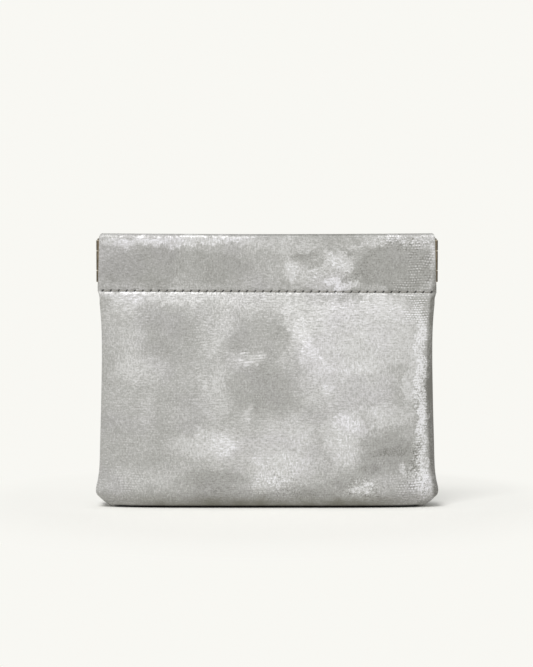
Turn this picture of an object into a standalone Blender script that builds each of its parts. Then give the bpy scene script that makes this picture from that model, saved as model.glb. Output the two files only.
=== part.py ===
# Leather card pouch with a squeeze-open flex frame
#
# The origin is on the table under the middle of the pouch. +X runs to the right end
# of the mouth, +Y to the back panel and +Z up. Lengths are metres, angles are degrees.
#
# The leather and the spring strips bend when the ends are pressed together. Each is
# cut along the lines where it bends, and each cut lies on a hinge axis. All axes lie
# in the plane between the two panels and meet at the bottom corners of the pouch.

import math

import bmesh
import bpy
from mathutils import Vector

# Driving dimensions
PIN_SPAN = 0.1115            # between the centre lines of the two hinge pins
POUCH_HEIGHT = 0.0920        # table to the crest of the casing
BELLY_DEPTH = 0.0180         # front to back over the fullest part
BELLY_RISE = 0.0090          # height at which the base has curved up to full depth
FLAT_DEPTH = 0.0072          # depth of the flat that stands on the table
LEATHER = 0.0008             # leather thickness
STRIP_THICKNESS = 0.0005     # spring steel
STRIP_HEIGHT = 0.0140        # height of the spring strip and of the whole hinge
STRIP_DROP = 0.0023          # crest of the casing down to the strip
STITCH_DROP = 0.0194         # crest of the casing down to the stitch line
CASING_HEM = 0.0024          # casing leather below the stitch line, inside
PIN_DIAMETER = 0.0015
PIN_HEAD_DIAMETER = 0.0026
PIN_HEAD_HEIGHT = 0.0006
THREAD_DIAMETER = 0.0004
STITCH_PITCH = 0.0026
STITCH_END_MARGIN = 0.0018   # last stitch to the side edge of the casing
SEAM_ALLOWANCE = 0.0045      # width of the turned-in side seam
SEAM_THREAD_INSET = 0.0018   # seam thread to the outer edge of the allowance
SEAM_FOOT = 0.0062           # height at which the allowances start
TRAY_WALL = 0.0045           # height of the bottom fold's walls, hidden behind the panels
HINGE_HEIGHT = 0.0006        # fold line of the base above the table
EAR_HEIGHT = 0.0030          # top of the centre panels' bottom corners
EAR_WIDTH = 0.0020           # width of those corners outside the crease
EAR_GAP = 0.0008             # bottom corners to the side panels above them
CREASE_APEX = 0.0120         # height above the crest at which the two creases meet
CORNER_ROUND = 0.0006        # rounding of the casing's top corners
OPEN_ANGLE = 14.0            # how far each panel tilts out
CLEARANCE = 0.0003           # between faces that touch in the real pouch
CREASE_GAP = 0.0004          # between the two sides of a crease, along X
KNUCKLE_GAP = 0.0003         # between knuckles along the pin
HINGE_PLAY = 0.0005          # knuckles to the leather that turns past them
KNUCKLE_NOTCH = 0.0008       # strip cut back from the barrel beside a knuckle
ROLL_START = 38.0            # angle at which the leather leaves the side seam
KNUCKLE_CURL = 295.0         # turn of a knuckle round its pin

# Outline of the front view: share of the height, and half width as a share of the pin's reach
SIDE_OUTLINE_SHARES = [
    (0.000, 0.960), (0.016, 0.978), (0.032, 1.010), (0.047, 1.028), (0.061, 1.035),
    (0.076, 1.033), (0.098, 1.024), (0.134, 1.015), (0.171, 1.012), (0.243, 1.009),
    (0.390, 1.003), (0.543, 0.998), (0.646, 1.001), (0.720, 1.008), (0.755, 1.015),
    (0.792, 1.021), (0.826, 1.020), (0.870, 1.017), (1.000, 1.010),
]
# Side view: share of the way from the full belly up to the stitches, and share of the swell
BELLY_SHARES = [
    (0.00, 1.000), (0.20, 1.000), (0.35, 0.975), (0.50, 0.885), (0.65, 0.710),
    (0.80, 0.470), (0.90, 0.270), (0.955, 0.130), (1.00, 0.000),
]
BELLY_ROW_SHARES = [0.0, 0.10, 0.20, 0.32, 0.44, 0.56, 0.68, 0.79, 0.88, 0.945, 1.0]
CASING_ROW_SHARES = [0.35, 1.0]
BASE_ROW_SHARES = [0.3, 0.65]
TRAY_RING_SHARES = [0.0, 0.5, 1.0]
PIN_HEAD_SHARES = [(0.0, 1.0), (0.6, 0.85), (1.0, 0.4), (1.0, 0.0)]
STITCH_REST_SHARES = [0.25, 0.75]
KNUCKLE_SPLIT_SHARES = [0.277, 0.745]
SIDE_CURVE_POWER = 5.0
ROLL_STEPS = 3
SIDE_COLUMNS = 8
EAR_COLUMNS = 2
CENTRE_COLUMNS = 8
FOLD_STEPS = 6
BARREL_STEPS = 18
PIN_SIDES = 20
SEAM_STEPS = 7
TRAY_CORNER_STEPS = 7
TRAY_CORNER_POWER = 0.35

# Worked out from the driving dimensions
pin_reach = PIN_SPAN / 2
belly_half = BELLY_DEPTH / 2
flat_half = FLAT_DEPTH / 2
half_gap = CLEARANCE / 2
apex_height = POUCH_HEIGHT + CREASE_APEX
facing_outer = half_gap + LEATHER
strip_inner = facing_outer + CLEARANCE
barrel_radius = strip_inner + STRIP_THICKNESS
casing_half = barrel_radius + HINGE_PLAY + LEATHER
pinch_half = facing_outer + CLEARANCE + LEATHER
fold_radius = (casing_half - half_gap) / 2
fold_height = POUCH_HEIGHT - fold_radius
strip_top = POUCH_HEIGHT - STRIP_DROP
strip_foot = strip_top - STRIP_HEIGHT
stitch_height = POUCH_HEIGHT - STITCH_DROP
facing_foot = stitch_height - CASING_HEM
facing_reach = pin_reach - barrel_radius - HINGE_PLAY
notch_reach = pin_reach - barrel_radius - KNUCKLE_NOTCH
seam_top = facing_foot - CASING_HEM
roll_heading = math.radians(ROLL_START)
thread_radius = THREAD_DIAMETER / 2


def smooth_read(table, place):
    """Value of a table of (place, value) pairs on a smooth curve through its points."""
    last = len(table) - 1
    if place <= table[0][0]:
        return table[0][1]
    if place >= table[last][0]:
        return table[last][1]
    index = 0
    while table[index + 1][0] < place:
        index += 1
    left = table[index]
    right = table[index + 1]
    before = table[max(index - 1, 0)]
    after = table[min(index + 2, last)]
    span = right[0] - left[0]
    way = (place - left[0]) / span
    left_slope = (right[1] - before[1]) / (right[0] - before[0]) * span
    right_slope = (after[1] - left[1]) / (after[0] - left[0]) * span
    return ((2 * way**3 - 3 * way**2 + 1) * left[1] + (way**3 - 2 * way**2 + way) * left_slope
            + (3 * way**2 - 2 * way**3) * right[1] + (way**3 - way**2) * right_slope)


def ease(way):
    """Smooth step from 0 to 1."""
    way = min(max(way, 0.0), 1.0)
    return way * way * (3 - 2 * way)


def half_width(height):
    """Half the width of the pouch in front view."""
    return pin_reach * smooth_read(SIDE_OUTLINE_SHARES, height / POUCH_HEIGHT)


def half_depth(height):
    """Outer face of the leather in the middle of a panel, from the plane between the panels."""
    if height >= strip_foot:
        return casing_half
    if height >= stitch_height:
        way = (height - stitch_height) / (strip_foot - stitch_height)
        return pinch_half + (casing_half - pinch_half) * ease(way)
    if height >= BELLY_RISE:
        way = (height - BELLY_RISE) / (stitch_height - BELLY_RISE)
        return pinch_half + (belly_half - pinch_half) * smooth_read(BELLY_SHARES, way)
    turn = math.acos(1 - height / BELLY_RISE)
    return flat_half + (belly_half - flat_half) * math.sin(turn)


def seam_reach(height):
    """Half the distance between the side seams."""
    return min(pin_reach, half_width(height) - LEATHER)


def crease_reach(height):
    """Distance of a crease from the middle plane of the pouch."""
    return pin_reach * (apex_height - height) / (apex_height - HINGE_HEIGHT)


def panel_edge_height():
    """Lowest edge of a panel, which just clears the table when the panel tilts out."""
    tilt = math.radians(OPEN_ANGLE)
    height = HINGE_HEIGHT
    step = LEATHER / 20
    while True:
        drop = half_depth(height) * math.sin(tilt)
        swung = HINGE_HEIGHT + (height - HINGE_HEIGHT) * math.cos(tilt) - drop
        if swung >= CLEARANCE / 2:
            return height
        height += step


def side_open(height):
    """0 where the side seam is closed, 1 in the casing, whose ends are open at the hinge."""
    return ease((height - seam_top) / (stitch_height - seam_top))


def roll_point(height, step):
    """Point of the leather between the side seam and the widest line of the panel."""
    width = half_width(height)
    start = seam_reach(height)
    radius = (width - start) / (1 - math.sin(roll_heading))
    heading = roll_heading + (math.pi / 2 - roll_heading) * step / ROLL_STEPS
    along = start + radius * (math.sin(heading) - math.sin(roll_heading))
    deep = half_gap + radius * (math.cos(roll_heading) - math.cos(heading))
    deep = min(deep, half_depth(height) - LEATHER / 4)
    opened = side_open(height)
    flat_along = width - step * LEATHER / 4
    return Vector((along + (flat_along - along) * opened,
                   deep + (half_depth(height) - deep) * opened))


def panel_depth(height, along):
    """Outer face of a panel at a height and a distance from the middle."""
    width = half_width(height)
    edge = roll_point(height, ROLL_STEPS)[1]
    share = min(max(along / width, 0.0), 1.0)
    curve = math.sqrt(1 - share**SIDE_CURVE_POWER)
    curve += (1 - curve) * side_open(height)
    return edge + (half_depth(height) - edge) * curve


def side_section(height, end, columns):
    """Front outline of a panel at one height, from its side seam in to the place end."""
    points = [roll_point(height, step) for step in range(ROLL_STEPS + 1)]
    start = points[-1][0]
    for column in range(1, columns + 1):
        way = (column / columns)**2
        along = start + (end - start) * way
        points.append(Vector((along, panel_depth(height, along))))
    return points


def wall_heights(lowest):
    """Heights of a panel's rows, from its lowest edge to the foot of the casing's fold."""
    heights = [lowest]
    if lowest < EAR_HEIGHT:
        heights.append(EAR_HEIGHT)
    start = EAR_HEIGHT + EAR_GAP
    if start > lowest:
        heights.append(start)
    for share in BASE_ROW_SHARES:
        heights.append(start + (BELLY_RISE - start) * share)
    for share in BELLY_ROW_SHARES:
        heights.append(BELLY_RISE + (stitch_height - BELLY_RISE) * share)
    for share in CASING_ROW_SHARES:
        heights.append(stitch_height + (strip_foot - stitch_height) * share)
    heights.append((strip_foot + fold_height) / 2)
    heights.append(fold_height)
    return heights


def casing_profile():
    """Depth and height of the fold over the strip and of the facing behind it."""
    profile = []
    middle = half_gap + fold_radius
    for step in range(1, FOLD_STEPS + 1):
        turn = math.pi * step / FOLD_STEPS
        deep = middle + fold_radius * math.cos(turn)
        profile.append((deep, fold_height + fold_radius * math.sin(turn)))
    profile.append((half_gap, strip_foot))
    profile.append((half_gap, facing_foot))
    return profile


def clear_scene():
    for item in list(bpy.data.objects):
        bpy.data.objects.remove(item, do_unlink=True)


def make_material(name, color, roughness, metallic):
    material = bpy.data.materials.new(name)
    material.use_nodes = True
    shader = material.node_tree.nodes["Principled BSDF"]
    shader.inputs["Base Color"].default_value = (*color, 1.0)
    shader.inputs["Roughness"].default_value = roughness
    shader.inputs["Metallic"].default_value = metallic
    return material


def make_axis(name, place, parent):
    """Empty on a joint's axis, which carries the pieces that turn about it."""
    axis = bpy.data.objects.new(name, None)
    collection.objects.link(axis)
    axis.empty_display_size = BELLY_DEPTH
    axis.parent = parent
    offset = Vector(place)
    while parent is not None:
        offset -= parent.location
        parent = parent.parent
    axis.location = offset
    return axis


def place_on(item, carrier):
    """Parent a piece, whose mesh is drawn about the pouch's origin, to its carrier."""
    if carrier is None:
        return
    item.parent = carrier
    offset = Vector((0, 0, 0))
    while carrier is not None:
        offset += carrier.location
        carrier = carrier.parent
    item.location -= offset


def make_sheet(name, rows, thickness, material, carrier, reverse):
    """Sheet of even thickness from rows of points on its outer face. None leaves a place out."""
    shape = bmesh.new()
    grid = []
    for row in rows:
        grid.append([None if point is None else shape.verts.new(point) for point in row])
    for low, high in zip(grid, grid[1:]):
        for column in range(len(low) - 1):
            corners = [low[column], low[column + 1], high[column + 1], high[column]]
            if None in corners:
                continue
            if reverse:
                corners.reverse()
            shape.faces.new(corners)
    loose = [point for point in shape.verts if not point.link_faces]
    bmesh.ops.delete(shape, geom=loose, context="VERTS")
    mesh = bpy.data.meshes.new(name)
    shape.to_mesh(mesh)
    shape.free()
    mesh.shade_smooth()
    mesh.set_sharp_from_angle(angle=math.radians(40))
    mesh.materials.append(material)
    item = bpy.data.objects.new(name, mesh)
    collection.objects.link(item)
    wall = item.modifiers.new("Thickness", "SOLIDIFY")
    wall.thickness = thickness
    wall.offset = -1.0
    wall.use_even_offset = True
    wall.use_quality_normals = True
    place_on(item, carrier)
    return item


def set_point(along, deep, height, side, face):
    """World point: side is -1 left or 1 right, face is -1 front or 1 back."""
    return Vector((side * along, face * deep, height))


def side_panel(face_name, face, side_name, side, carrier):
    """Leather between a side seam and a crease, with its part of the casing."""
    rows = []
    for height in wall_heights(EAR_HEIGHT + EAR_GAP):
        end = crease_reach(height) + CREASE_GAP / 2
        section = side_section(height, end, SIDE_COLUMNS)
        rows.append([set_point(point[0], point[1], height, side, face) for point in section])
    for step, (deep, height) in enumerate(casing_profile()):
        end = crease_reach(height) + CREASE_GAP / 2
        start = facing_reach
        if step < FOLD_STEPS // 2:
            rise = (height - fold_height) / fold_radius
            start = half_width(height) - CORNER_ROUND * (1 - math.sqrt(max(1 - rise**2, 0)))
        row = []
        for column in range(ROLL_STEPS + SIDE_COLUMNS + 1):
            way = column / (ROLL_STEPS + SIDE_COLUMNS)
            row.append(set_point(start + (end - start) * way, deep, height, side, face))
        rows.append(row)
    name = f"{face_name}_panel_{side_name}"
    return make_sheet(name, rows, LEATHER, leather, carrier, side * face < 0)


def centre_panel(face_name, face, carrier):
    """Leather between the two creases, with the pouch's bottom corners."""
    rows = []
    for height in wall_heights(panel_edge_height()):
        in_ear = height <= EAR_HEIGHT
        end = min(crease_reach(height) - CREASE_GAP / 2, half_width(height) - EAR_WIDTH)
        row = []
        ear = side_section(height, end, EAR_COLUMNS)[:-1]
        for point in ear:
            row.append(set_point(point[0], point[1], height, -1, face) if in_ear else None)
        for column in range(CENTRE_COLUMNS + 1):
            along = end * (2 * column / CENTRE_COLUMNS - 1)
            row.append(Vector((along, face * panel_depth(height, abs(along)), height)))
        for point in reversed(ear):
            row.append(set_point(point[0], point[1], height, 1, face) if in_ear else None)
        rows.append(row)
    for deep, height in casing_profile():
        end = crease_reach(height) - CREASE_GAP / 2
        row = [None] * len(ear)
        for column in range(CENTRE_COLUMNS + 1):
            along = end * (2 * column / CENTRE_COLUMNS - 1)
            row.append(Vector((along, face * deep, height)))
        row += [None] * len(ear)
        rows.append(row)
    return make_sheet(f"{face_name}_panel_centre", rows, LEATHER, leather, carrier, face > 0)


def bottom_fold():
    """Fold of the leather that stands on the table, with walls hidden behind the panels."""
    edge = panel_edge_height()
    wall_half = half_depth(edge) - LEATHER - CLEARANCE / 2
    wall_reach = half_width(0) - LEATHER - CLEARANCE
    lean = LEATHER / 2
    rings = []
    turn_end = math.asin((wall_half - flat_half) / (belly_half - flat_half))
    for share in TRAY_RING_SHARES:
        turn = turn_end * share
        deep = flat_half + (belly_half - flat_half) * math.sin(turn)
        height = BELLY_RISE * (1 - math.cos(turn))
        rings.append((wall_reach - (wall_half - deep) / 2, deep, height))
    rings.append((wall_reach - lean, wall_half - lean, TRAY_WALL))
    shape = bmesh.new()
    loops = []
    for reach, deep, height in rings:
        loop = []
        for corner in range(4 * TRAY_CORNER_STEPS):
            turn = math.pi / 2 * corner / TRAY_CORNER_STEPS
            across = abs(math.cos(turn))**TRAY_CORNER_POWER * math.copysign(1, math.cos(turn))
            back = math.sin(turn)
            loop.append(shape.verts.new((reach * across, deep * back, height)))
        loops.append(loop)
    for low, high in zip(loops, loops[1:]):
        for corner in range(len(low)):
            after = (corner + 1) % len(low)
            shape.faces.new((low[corner], low[after], high[after], high[corner]))
    shape.faces.new(list(reversed(loops[0])))
    mesh = bpy.data.meshes.new("bottom_fold")
    shape.to_mesh(mesh)
    shape.free()
    mesh.materials.append(leather)
    item = bpy.data.objects.new("bottom_fold", mesh)
    collection.objects.link(item)
    wall = item.modifiers.new("Thickness", "SOLIDIFY")
    wall.thickness = LEATHER
    wall.offset = -1.0
    wall.use_even_offset = True
    return item


def side_spring(face_name, face, side_name, side, carrier):
    """Spring strip from a crease to the pin, round which its knuckles are rolled."""
    splits = [strip_foot + STRIP_HEIGHT * share for share in KNUCKLE_SPLIT_SHARES]
    cut = KNUCKLE_GAP / 2
    if face < 0:
        levels = [strip_foot, splits[0] - cut, splits[1] + cut, strip_top]
        barrel_rows = (0, 1, 2, 3)
        open_rows = (1,)
    else:
        levels = [strip_foot, splits[0] + cut, splits[1] - cut, strip_top]
        barrel_rows = (1, 2)
        open_rows = (0, 2)
    shape = bmesh.new()
    grid = []
    for level, height in enumerate(levels):
        end = crease_reach(height) + CREASE_GAP / 2
        points = [(end, barrel_radius), ((end + notch_reach) / 2, barrel_radius),
                  (notch_reach, barrel_radius)]
        if level in barrel_rows:
            for step in range(BARREL_STEPS + 1):
                turn = math.radians(KNUCKLE_CURL * step / BARREL_STEPS - 90)
                points.append((pin_reach + barrel_radius * math.cos(turn),
                               -barrel_radius * math.sin(turn)))
        grid.append([shape.verts.new(set_point(x, y, height, side, face)) for x, y in points])
    for row in range(len(levels) - 1):
        low = grid[row]
        high = grid[row + 1]
        count = 2 if row in open_rows else len(low) - 1
        for column in range(min(count, len(high) - 1)):
            corners = [low[column], low[column + 1], high[column + 1], high[column]]
            if side * face > 0:
                corners.reverse()
            shape.faces.new(corners)
    mesh = bpy.data.meshes.new(f"{face_name}_spring_{side_name}")
    shape.to_mesh(mesh)
    shape.free()
    mesh.shade_smooth()
    mesh.set_sharp_from_angle(angle=math.radians(40))
    mesh.materials.append(spring_steel)
    item = bpy.data.objects.new(mesh.name, mesh)
    collection.objects.link(item)
    wall = item.modifiers.new("Thickness", "SOLIDIFY")
    wall.thickness = STRIP_THICKNESS
    wall.offset = -1.0
    wall.use_even_offset = True
    place_on(item, carrier)
    return item


def centre_spring(face_name, face, carrier):
    """Middle link of a spring strip."""
    rows = []
    for height in (strip_foot, strip_top):
        end = crease_reach(height) - CREASE_GAP / 2
        rows.append([Vector((end * way, face * barrel_radius, height)) for way in (-1, 0, 1)])
    name = f"{face_name}_spring_centre"
    return make_sheet(name, rows, STRIP_THICKNESS, spring_steel, carrier, face > 0)


def hinge_pin(side_name, side, carrier):
    """Pin with a domed head, dropped in from the top and peened below the last knuckle."""
    shaft = PIN_DIAMETER / 2
    head = PIN_HEAD_DIAMETER / 2
    seat = strip_top + KNUCKLE_GAP / 2
    foot = strip_foot - CLEARANCE
    nose = shaft / 4
    profile = [(head * across, seat + PIN_HEAD_HEIGHT * up) for across, up in PIN_HEAD_SHARES]
    profile += [(shaft, seat), (shaft, foot + nose), (shaft - nose, foot), (0, foot)]
    mesh = bpy.data.meshes.new(f"{side_name}_hinge_pin")
    points = [(radius, 0, height) for radius, height in profile]
    edges = [(index, index + 1) for index in range(len(points) - 1)]
    mesh.from_pydata(points, edges, [])
    mesh.materials.append(spring_steel)
    item = bpy.data.objects.new(mesh.name, mesh)
    collection.objects.link(item)
    item.location = (side * pin_reach, 0, 0)
    turned = item.modifiers.new("Turned", "SCREW")
    turned.steps = PIN_SIDES
    turned.render_steps = PIN_SIDES
    turned.use_merge_vertices = True
    turned.merge_threshold = 0.00001
    turned.use_smooth_shade = True
    place_on(item, carrier)
    return item


def make_thread(name, points, carrier):
    """Round thread along a line of points."""
    curve = bpy.data.curves.new(name, "CURVE")
    curve.dimensions = "3D"
    curve.bevel_depth = thread_radius
    curve.bevel_resolution = 0
    curve.use_fill_caps = True
    spline = curve.splines.new("POLY")
    spline.points.add(len(points) - 1)
    for target, point in zip(spline.points, points):
        target.co = (*point, 1.0)
    curve.materials.append(linen_thread)
    item = bpy.data.objects.new(name, curve)
    collection.objects.link(item)
    place_on(item, carrier)
    return item


def stitch_run(start, end):
    """Places along a row of stitches with the lift of the thread there, 0 at a hole and 1 between."""
    count = max(int((end - start) / STITCH_PITCH), 1)
    pitch = (end - start) / count
    places = []
    for stitch in range(count):
        hole = start + stitch * pitch
        places.append((hole, 0))
        for share in STITCH_REST_SHARES:
            places.append((hole + pitch * share, 1))
    places.append((end, 0))
    return places


def casing_thread(face_name, face, side_name, start, end, carrier):
    """Thread of the casing's stitch line on the outer face of one panel."""
    rest = pinch_half + CLEARANCE + thread_radius
    points = []
    for along, lift in stitch_run(start, end):
        points.append((along, face * (rest + lift * thread_radius / 2), stitch_height))
    return make_thread(f"{face_name}_casing_thread_{side_name}", points, carrier)


def seam_allowance(side_name, side, face_name, face, carrier):
    """One turned-in edge of a side seam."""
    rows = []
    for step in range(SEAM_STEPS + 1):
        height = SEAM_FOOT + (seam_top - SEAM_FOOT) * step / SEAM_STEPS
        outer = seam_reach(height) - LEATHER * math.sin(roll_heading) - CLEARANCE
        inner = outer - SEAM_ALLOWANCE
        rows.append([set_point(along, facing_outer, height, side, face)
                     for along in (outer, inner)])
    name = f"{side_name}_seam_allowance_{face_name}"
    return make_sheet(name, rows, LEATHER, leather, carrier, side * face < 0)


def seam_thread(side_name, side, carrier):
    """Thread of a side seam, on the front face of the front allowance."""
    deep = facing_outer + CLEARANCE + thread_radius
    points = []
    for height, lift in stitch_run(SEAM_FOOT + BELLY_RISE / 2, seam_top - STITCH_PITCH):
        outer = seam_reach(height) - LEATHER * math.sin(roll_heading) - CLEARANCE
        along = outer - SEAM_THREAD_INSET
        points.append((side * along, -(deep + lift * thread_radius / 2), height))
    return make_thread(f"{side_name}_seam_thread", points, carrier)


clear_scene()
collection = bpy.data.collections.new("card_pouch")
bpy.context.scene.collection.children.link(collection)

leather = make_material("silver_leather", (0.46, 0.455, 0.43), 0.42, 0.35)
spring_steel = make_material("aged_brass_plate", (0.13, 0.10, 0.075), 0.38, 0.9)
linen_thread = make_material("grey_thread", (0.55, 0.55, 0.52), 0.75, 0.0)

bottom_fold()
for face_name, face in (("front", -1), ("back", 1)):
    base_axis = make_axis(f"{face_name}_tilt_axis", (0, 0, HINGE_HEIGHT), None)
    centre_panel(face_name, face, base_axis)
    centre_spring(face_name, face, base_axis)
    inner_end = crease_reach(stitch_height) - CREASE_GAP / 2 - THREAD_DIAMETER
    casing_thread(face_name, face, "centre", -inner_end, inner_end, base_axis)
    for side_name, side in (("left", -1), ("right", 1)):
        corner = (side * pin_reach, 0, HINGE_HEIGHT)
        crease_axis = make_axis(f"{face_name}_{side_name}_crease_axis", corner, base_axis)
        side_panel(face_name, face, side_name, side, crease_axis)
        side_spring(face_name, face, side_name, side, crease_axis)
        inner = side * (crease_reach(stitch_height) + CREASE_GAP / 2 + THREAD_DIAMETER)
        outer = side * (half_width(stitch_height) - STITCH_END_MARGIN)
        run_start, run_end = sorted((inner, outer))
        casing_thread(face_name, face, side_name, run_start, run_end, crease_axis)
        if face_name == "front":
            hinge_pin(side_name, side, crease_axis)
        else:
            for flap_name, flap_face in (("front", -1), ("back", 1)):
                seam_allowance(side_name, side, flap_name, flap_face, crease_axis)
            seam_thread(side_name, side, crease_axis)
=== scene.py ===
import math

import bpy
import numpy as np
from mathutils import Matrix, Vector, noise


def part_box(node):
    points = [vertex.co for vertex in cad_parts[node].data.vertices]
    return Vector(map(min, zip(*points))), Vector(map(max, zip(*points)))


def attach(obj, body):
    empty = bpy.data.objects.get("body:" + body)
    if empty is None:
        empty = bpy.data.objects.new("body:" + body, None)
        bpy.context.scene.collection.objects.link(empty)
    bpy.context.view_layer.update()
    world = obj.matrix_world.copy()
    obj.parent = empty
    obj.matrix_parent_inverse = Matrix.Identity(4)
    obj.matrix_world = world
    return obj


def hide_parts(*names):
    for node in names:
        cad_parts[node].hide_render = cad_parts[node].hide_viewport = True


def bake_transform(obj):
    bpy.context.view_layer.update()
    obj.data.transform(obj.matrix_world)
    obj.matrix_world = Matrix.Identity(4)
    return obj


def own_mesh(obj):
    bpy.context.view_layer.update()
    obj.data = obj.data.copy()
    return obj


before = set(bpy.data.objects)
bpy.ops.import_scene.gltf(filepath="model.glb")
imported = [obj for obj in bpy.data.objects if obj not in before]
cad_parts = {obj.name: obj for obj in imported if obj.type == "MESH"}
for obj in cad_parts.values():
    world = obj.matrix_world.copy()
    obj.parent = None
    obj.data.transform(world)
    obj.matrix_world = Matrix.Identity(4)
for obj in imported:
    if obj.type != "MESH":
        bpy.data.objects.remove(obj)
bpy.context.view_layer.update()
print("frame loaded with", len(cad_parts), "parts")


# The pouch's shape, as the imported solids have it. Shares are of the height and of the pin's reach.
pouch = {
    "pinReach": 0.05575,
    "crest": 0.0920,
    "bellyHalf": 0.0090,
    "bellyRise": 0.0090,
    "flatHalf": 0.0036,
    "foldLine": 0.0006,
    "leather": 0.0008,
    "seamLip": 0.00045,         # what is left of the leather, skived at the side seam
    "seamInset": 0.0004,        # seam line inside the widest line
    "seamGap": 0.00006,
    "facingGap": 0.00015,
    "pinchHalf": 0.00205,
    "casingHalf": 0.00305,
    "casing": [(0.0, 0.00205), (0.0008, 0.00212), (0.0024, 0.00246), (0.0044, 0.00276), (0.0070, 0.00297),
               (0.0100, 0.00305), (0.0194, 0.00305)],      # outer face by height above the stitches
    "stripFoot": 0.0757,
    "stitchLine": 0.0726,
    "facingFoot": 0.0702,
    "seamTop": 0.0678,
    "facingReach": 0.0535,
    "facingFlare": 0.0007,      # wider just below the fold
    "facingDent": 0.00006,      # the stitches draw the facing outwards
    "facingDentReach": 0.0004,
    "facingSkive": ((-1, 0.7), (-2, 0.9)),      # last rows, and the share of the leather left there
    "foldEndReach": 0.0551,
    "cornerRound": 0.0007,
    "rollStart": 38.0,          # degrees
    "sideCurve": 5.0,
    "creaseApex": 0.1040,
    "creaseSpread": 0.0057,     # leather bends over this distance on each side of a crease
    "edgeBulge": 0.00012,
    "placeApart": 0.5,          # so that front and back read the noise at different places
    "crestSag": 0.00028,
    "sagSpan": 0.0155,          # the sag comes in over this height above the strip's foot
    "stitchSlope": 0.00028,     # stitch line is higher at the left end and lower at the right
    "slopeReach": 0.006,        # leather this far from the stitches slopes with them
    "outline": [
        (0.000, 0.946), (0.010, 0.967), (0.018, 0.987), (0.032, 1.010), (0.047, 1.028), (0.061, 1.033),
        (0.076, 1.031), (0.098, 1.023), (0.134, 1.015), (0.171, 1.012), (0.243, 1.009),
        (0.390, 1.002), (0.543, 0.997), (0.646, 0.998), (0.720, 1.005), (0.755, 1.011),
        (0.792, 1.0165), (0.826, 1.015), (0.870, 1.012), (1.000, 1.006)],
    "belly": [
        (0.00, 1.000), (0.20, 1.000), (0.35, 0.975), (0.50, 0.885), (0.65, 0.710),
        (0.80, 0.470), (0.90, 0.270), (0.955, 0.130), (1.00, 0.000)],
}
stitching = {
    "lastHole": 0.0551,
    "count": 41,
    "threadRadius": 0.00019,
    "sides": 8,
    "twistStart": 0.0031,       # each stitch shows the twist from another place
    "slant": 0.00013,
    "rise": 0.00013,            # thread's middle above the leather, halfway along a stitch
    "holeDepth": 0.00024,
    "holeRadius": 0.00040,
    "groove": 0.00012,
    "puff": 0.00010,
    "sunk": 0.00028,            # ends of a stitch below the leather
    "seated": 0.6,              # share of the groove that the thread lies in
    "innerGap": 0.00005,
    "innerSunk": 0.00024,
    "innerRise": -0.00009,
    "enter": 0.10,              # share of the way to the next hole where the thread comes up
    "profile": ((0.16, -0.1), (0.26, 0.75), (0.5, 1.0), (0.74, 0.75), (0.84, -0.1)),    # way and rise
}
holePitch = 2 * stitching["lastHole"] / stitching["count"]


# Small helpers for shader nodes. A socket's id_data is the node tree that it lies in.

def linearColor(red, green, blue):
    # screen levels from 0 to 255, as a colour for a socket
    levels = [level / 255 for level in (red, green, blue)]
    return (*[(v / 12.92 if v <= 0.04045 else ((v + 0.055) / 1.055) ** 2.4) for v in levels], 1.0)


def plug(target, value):
    if isinstance(value, bpy.types.NodeSocket):
        target.id_data.links.new(value, target)
    else:
        target.default_value = value


def addNode(kind, inputs, **settings):
    # goes into the tree of the first input that is a socket
    tree = next(value.id_data for value in inputs.values() if isinstance(value, bpy.types.NodeSocket))
    node = tree.nodes.new("ShaderNode" + kind)
    for name, setting in settings.items():
        setattr(node, name, setting)
    for key, value in inputs.items():
        plug(node.inputs[key], value)
    return node


def doMath(operation, *values, clamp=False):
    return addNode("Math", dict(enumerate(values)), operation=operation, use_clamp=clamp).outputs[0]


def plus(first, second):
    return doMath("ADD", first, second)


def minus(first, second):
    return doMath("SUBTRACT", first, second)


def times(first, second, clamp=False):
    return doMath("MULTIPLY", first, second, clamp=clamp)


def timesPlus(first, second, third, clamp=False):
    return doMath("MULTIPLY_ADD", first, second, third, clamp=clamp)


def roundMiddle(tone, gain, middle, clamp=False):
    # the middle value where the tone is a half, and more or less of it away from there
    return timesPlus(tone, gain, middle - gain / 2, clamp=clamp)


def doVector(operation, *values):
    keys = (0, "Scale") if operation == "SCALE" else range(3)
    node = addNode("VectorMath", dict(zip(keys, values)), operation=operation)
    return node.outputs["Value" if operation == "LENGTH" else "Vector"]


def axesOf(vector):
    return addNode("SeparateXYZ", {0: vector}).outputs


def joinAxes(across, up):
    return addNode("CombineXYZ", {0: across, 1: up}).outputs[0]


def mixColors(factor, first, second, kind="MIX"):
    return addNode("Mix", {0: factor, 6: first, 7: second}, data_type="RGBA", blend_type=kind).outputs[2]


def remap(value, low, high, toLow=0.0, toHigh=1.0):
    # smooth step from one level to the other
    inputs = {0: value, 1: low, 2: high, 3: toLow, 4: toHigh}
    return addNode("MapRange", inputs, interpolation_type="SMOOTHSTEP").outputs[0]


def cloud(place, scale, detail=3.0, roughness=0.5, distortion=0.0, color=False):
    inputs = {"Vector": place, "Scale": scale, "Detail": detail, "Roughness": roughness,
              "Distortion": distortion}
    return addNode("TexNoise", inputs).outputs["Color" if color else "Fac"]


def swing(*noiseValues):
    # noise that goes up to a half each way
    return minus(cloud(*noiseValues), 0.5)


def waver(place, scale, detail=2.0, roughness=0.5):
    # an offset that changes from place to place, up to a half each way
    return doVector("SUBTRACT", cloud(place, scale, detail, roughness, color=True), (0.5, 0.5, 0.5))


def rampColor(value, stops):
    # each stop is a position and its screen levels
    node = addNode("ValToRGB", {0: value})
    ramp = node.color_ramp
    while len(ramp.elements) < len(stops):
        ramp.elements.new(0.5)
    for element, (position, levels) in zip(ramp.elements, stops):
        element.position = position
        element.color = linearColor(*levels)
    return node.outputs[0]


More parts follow.
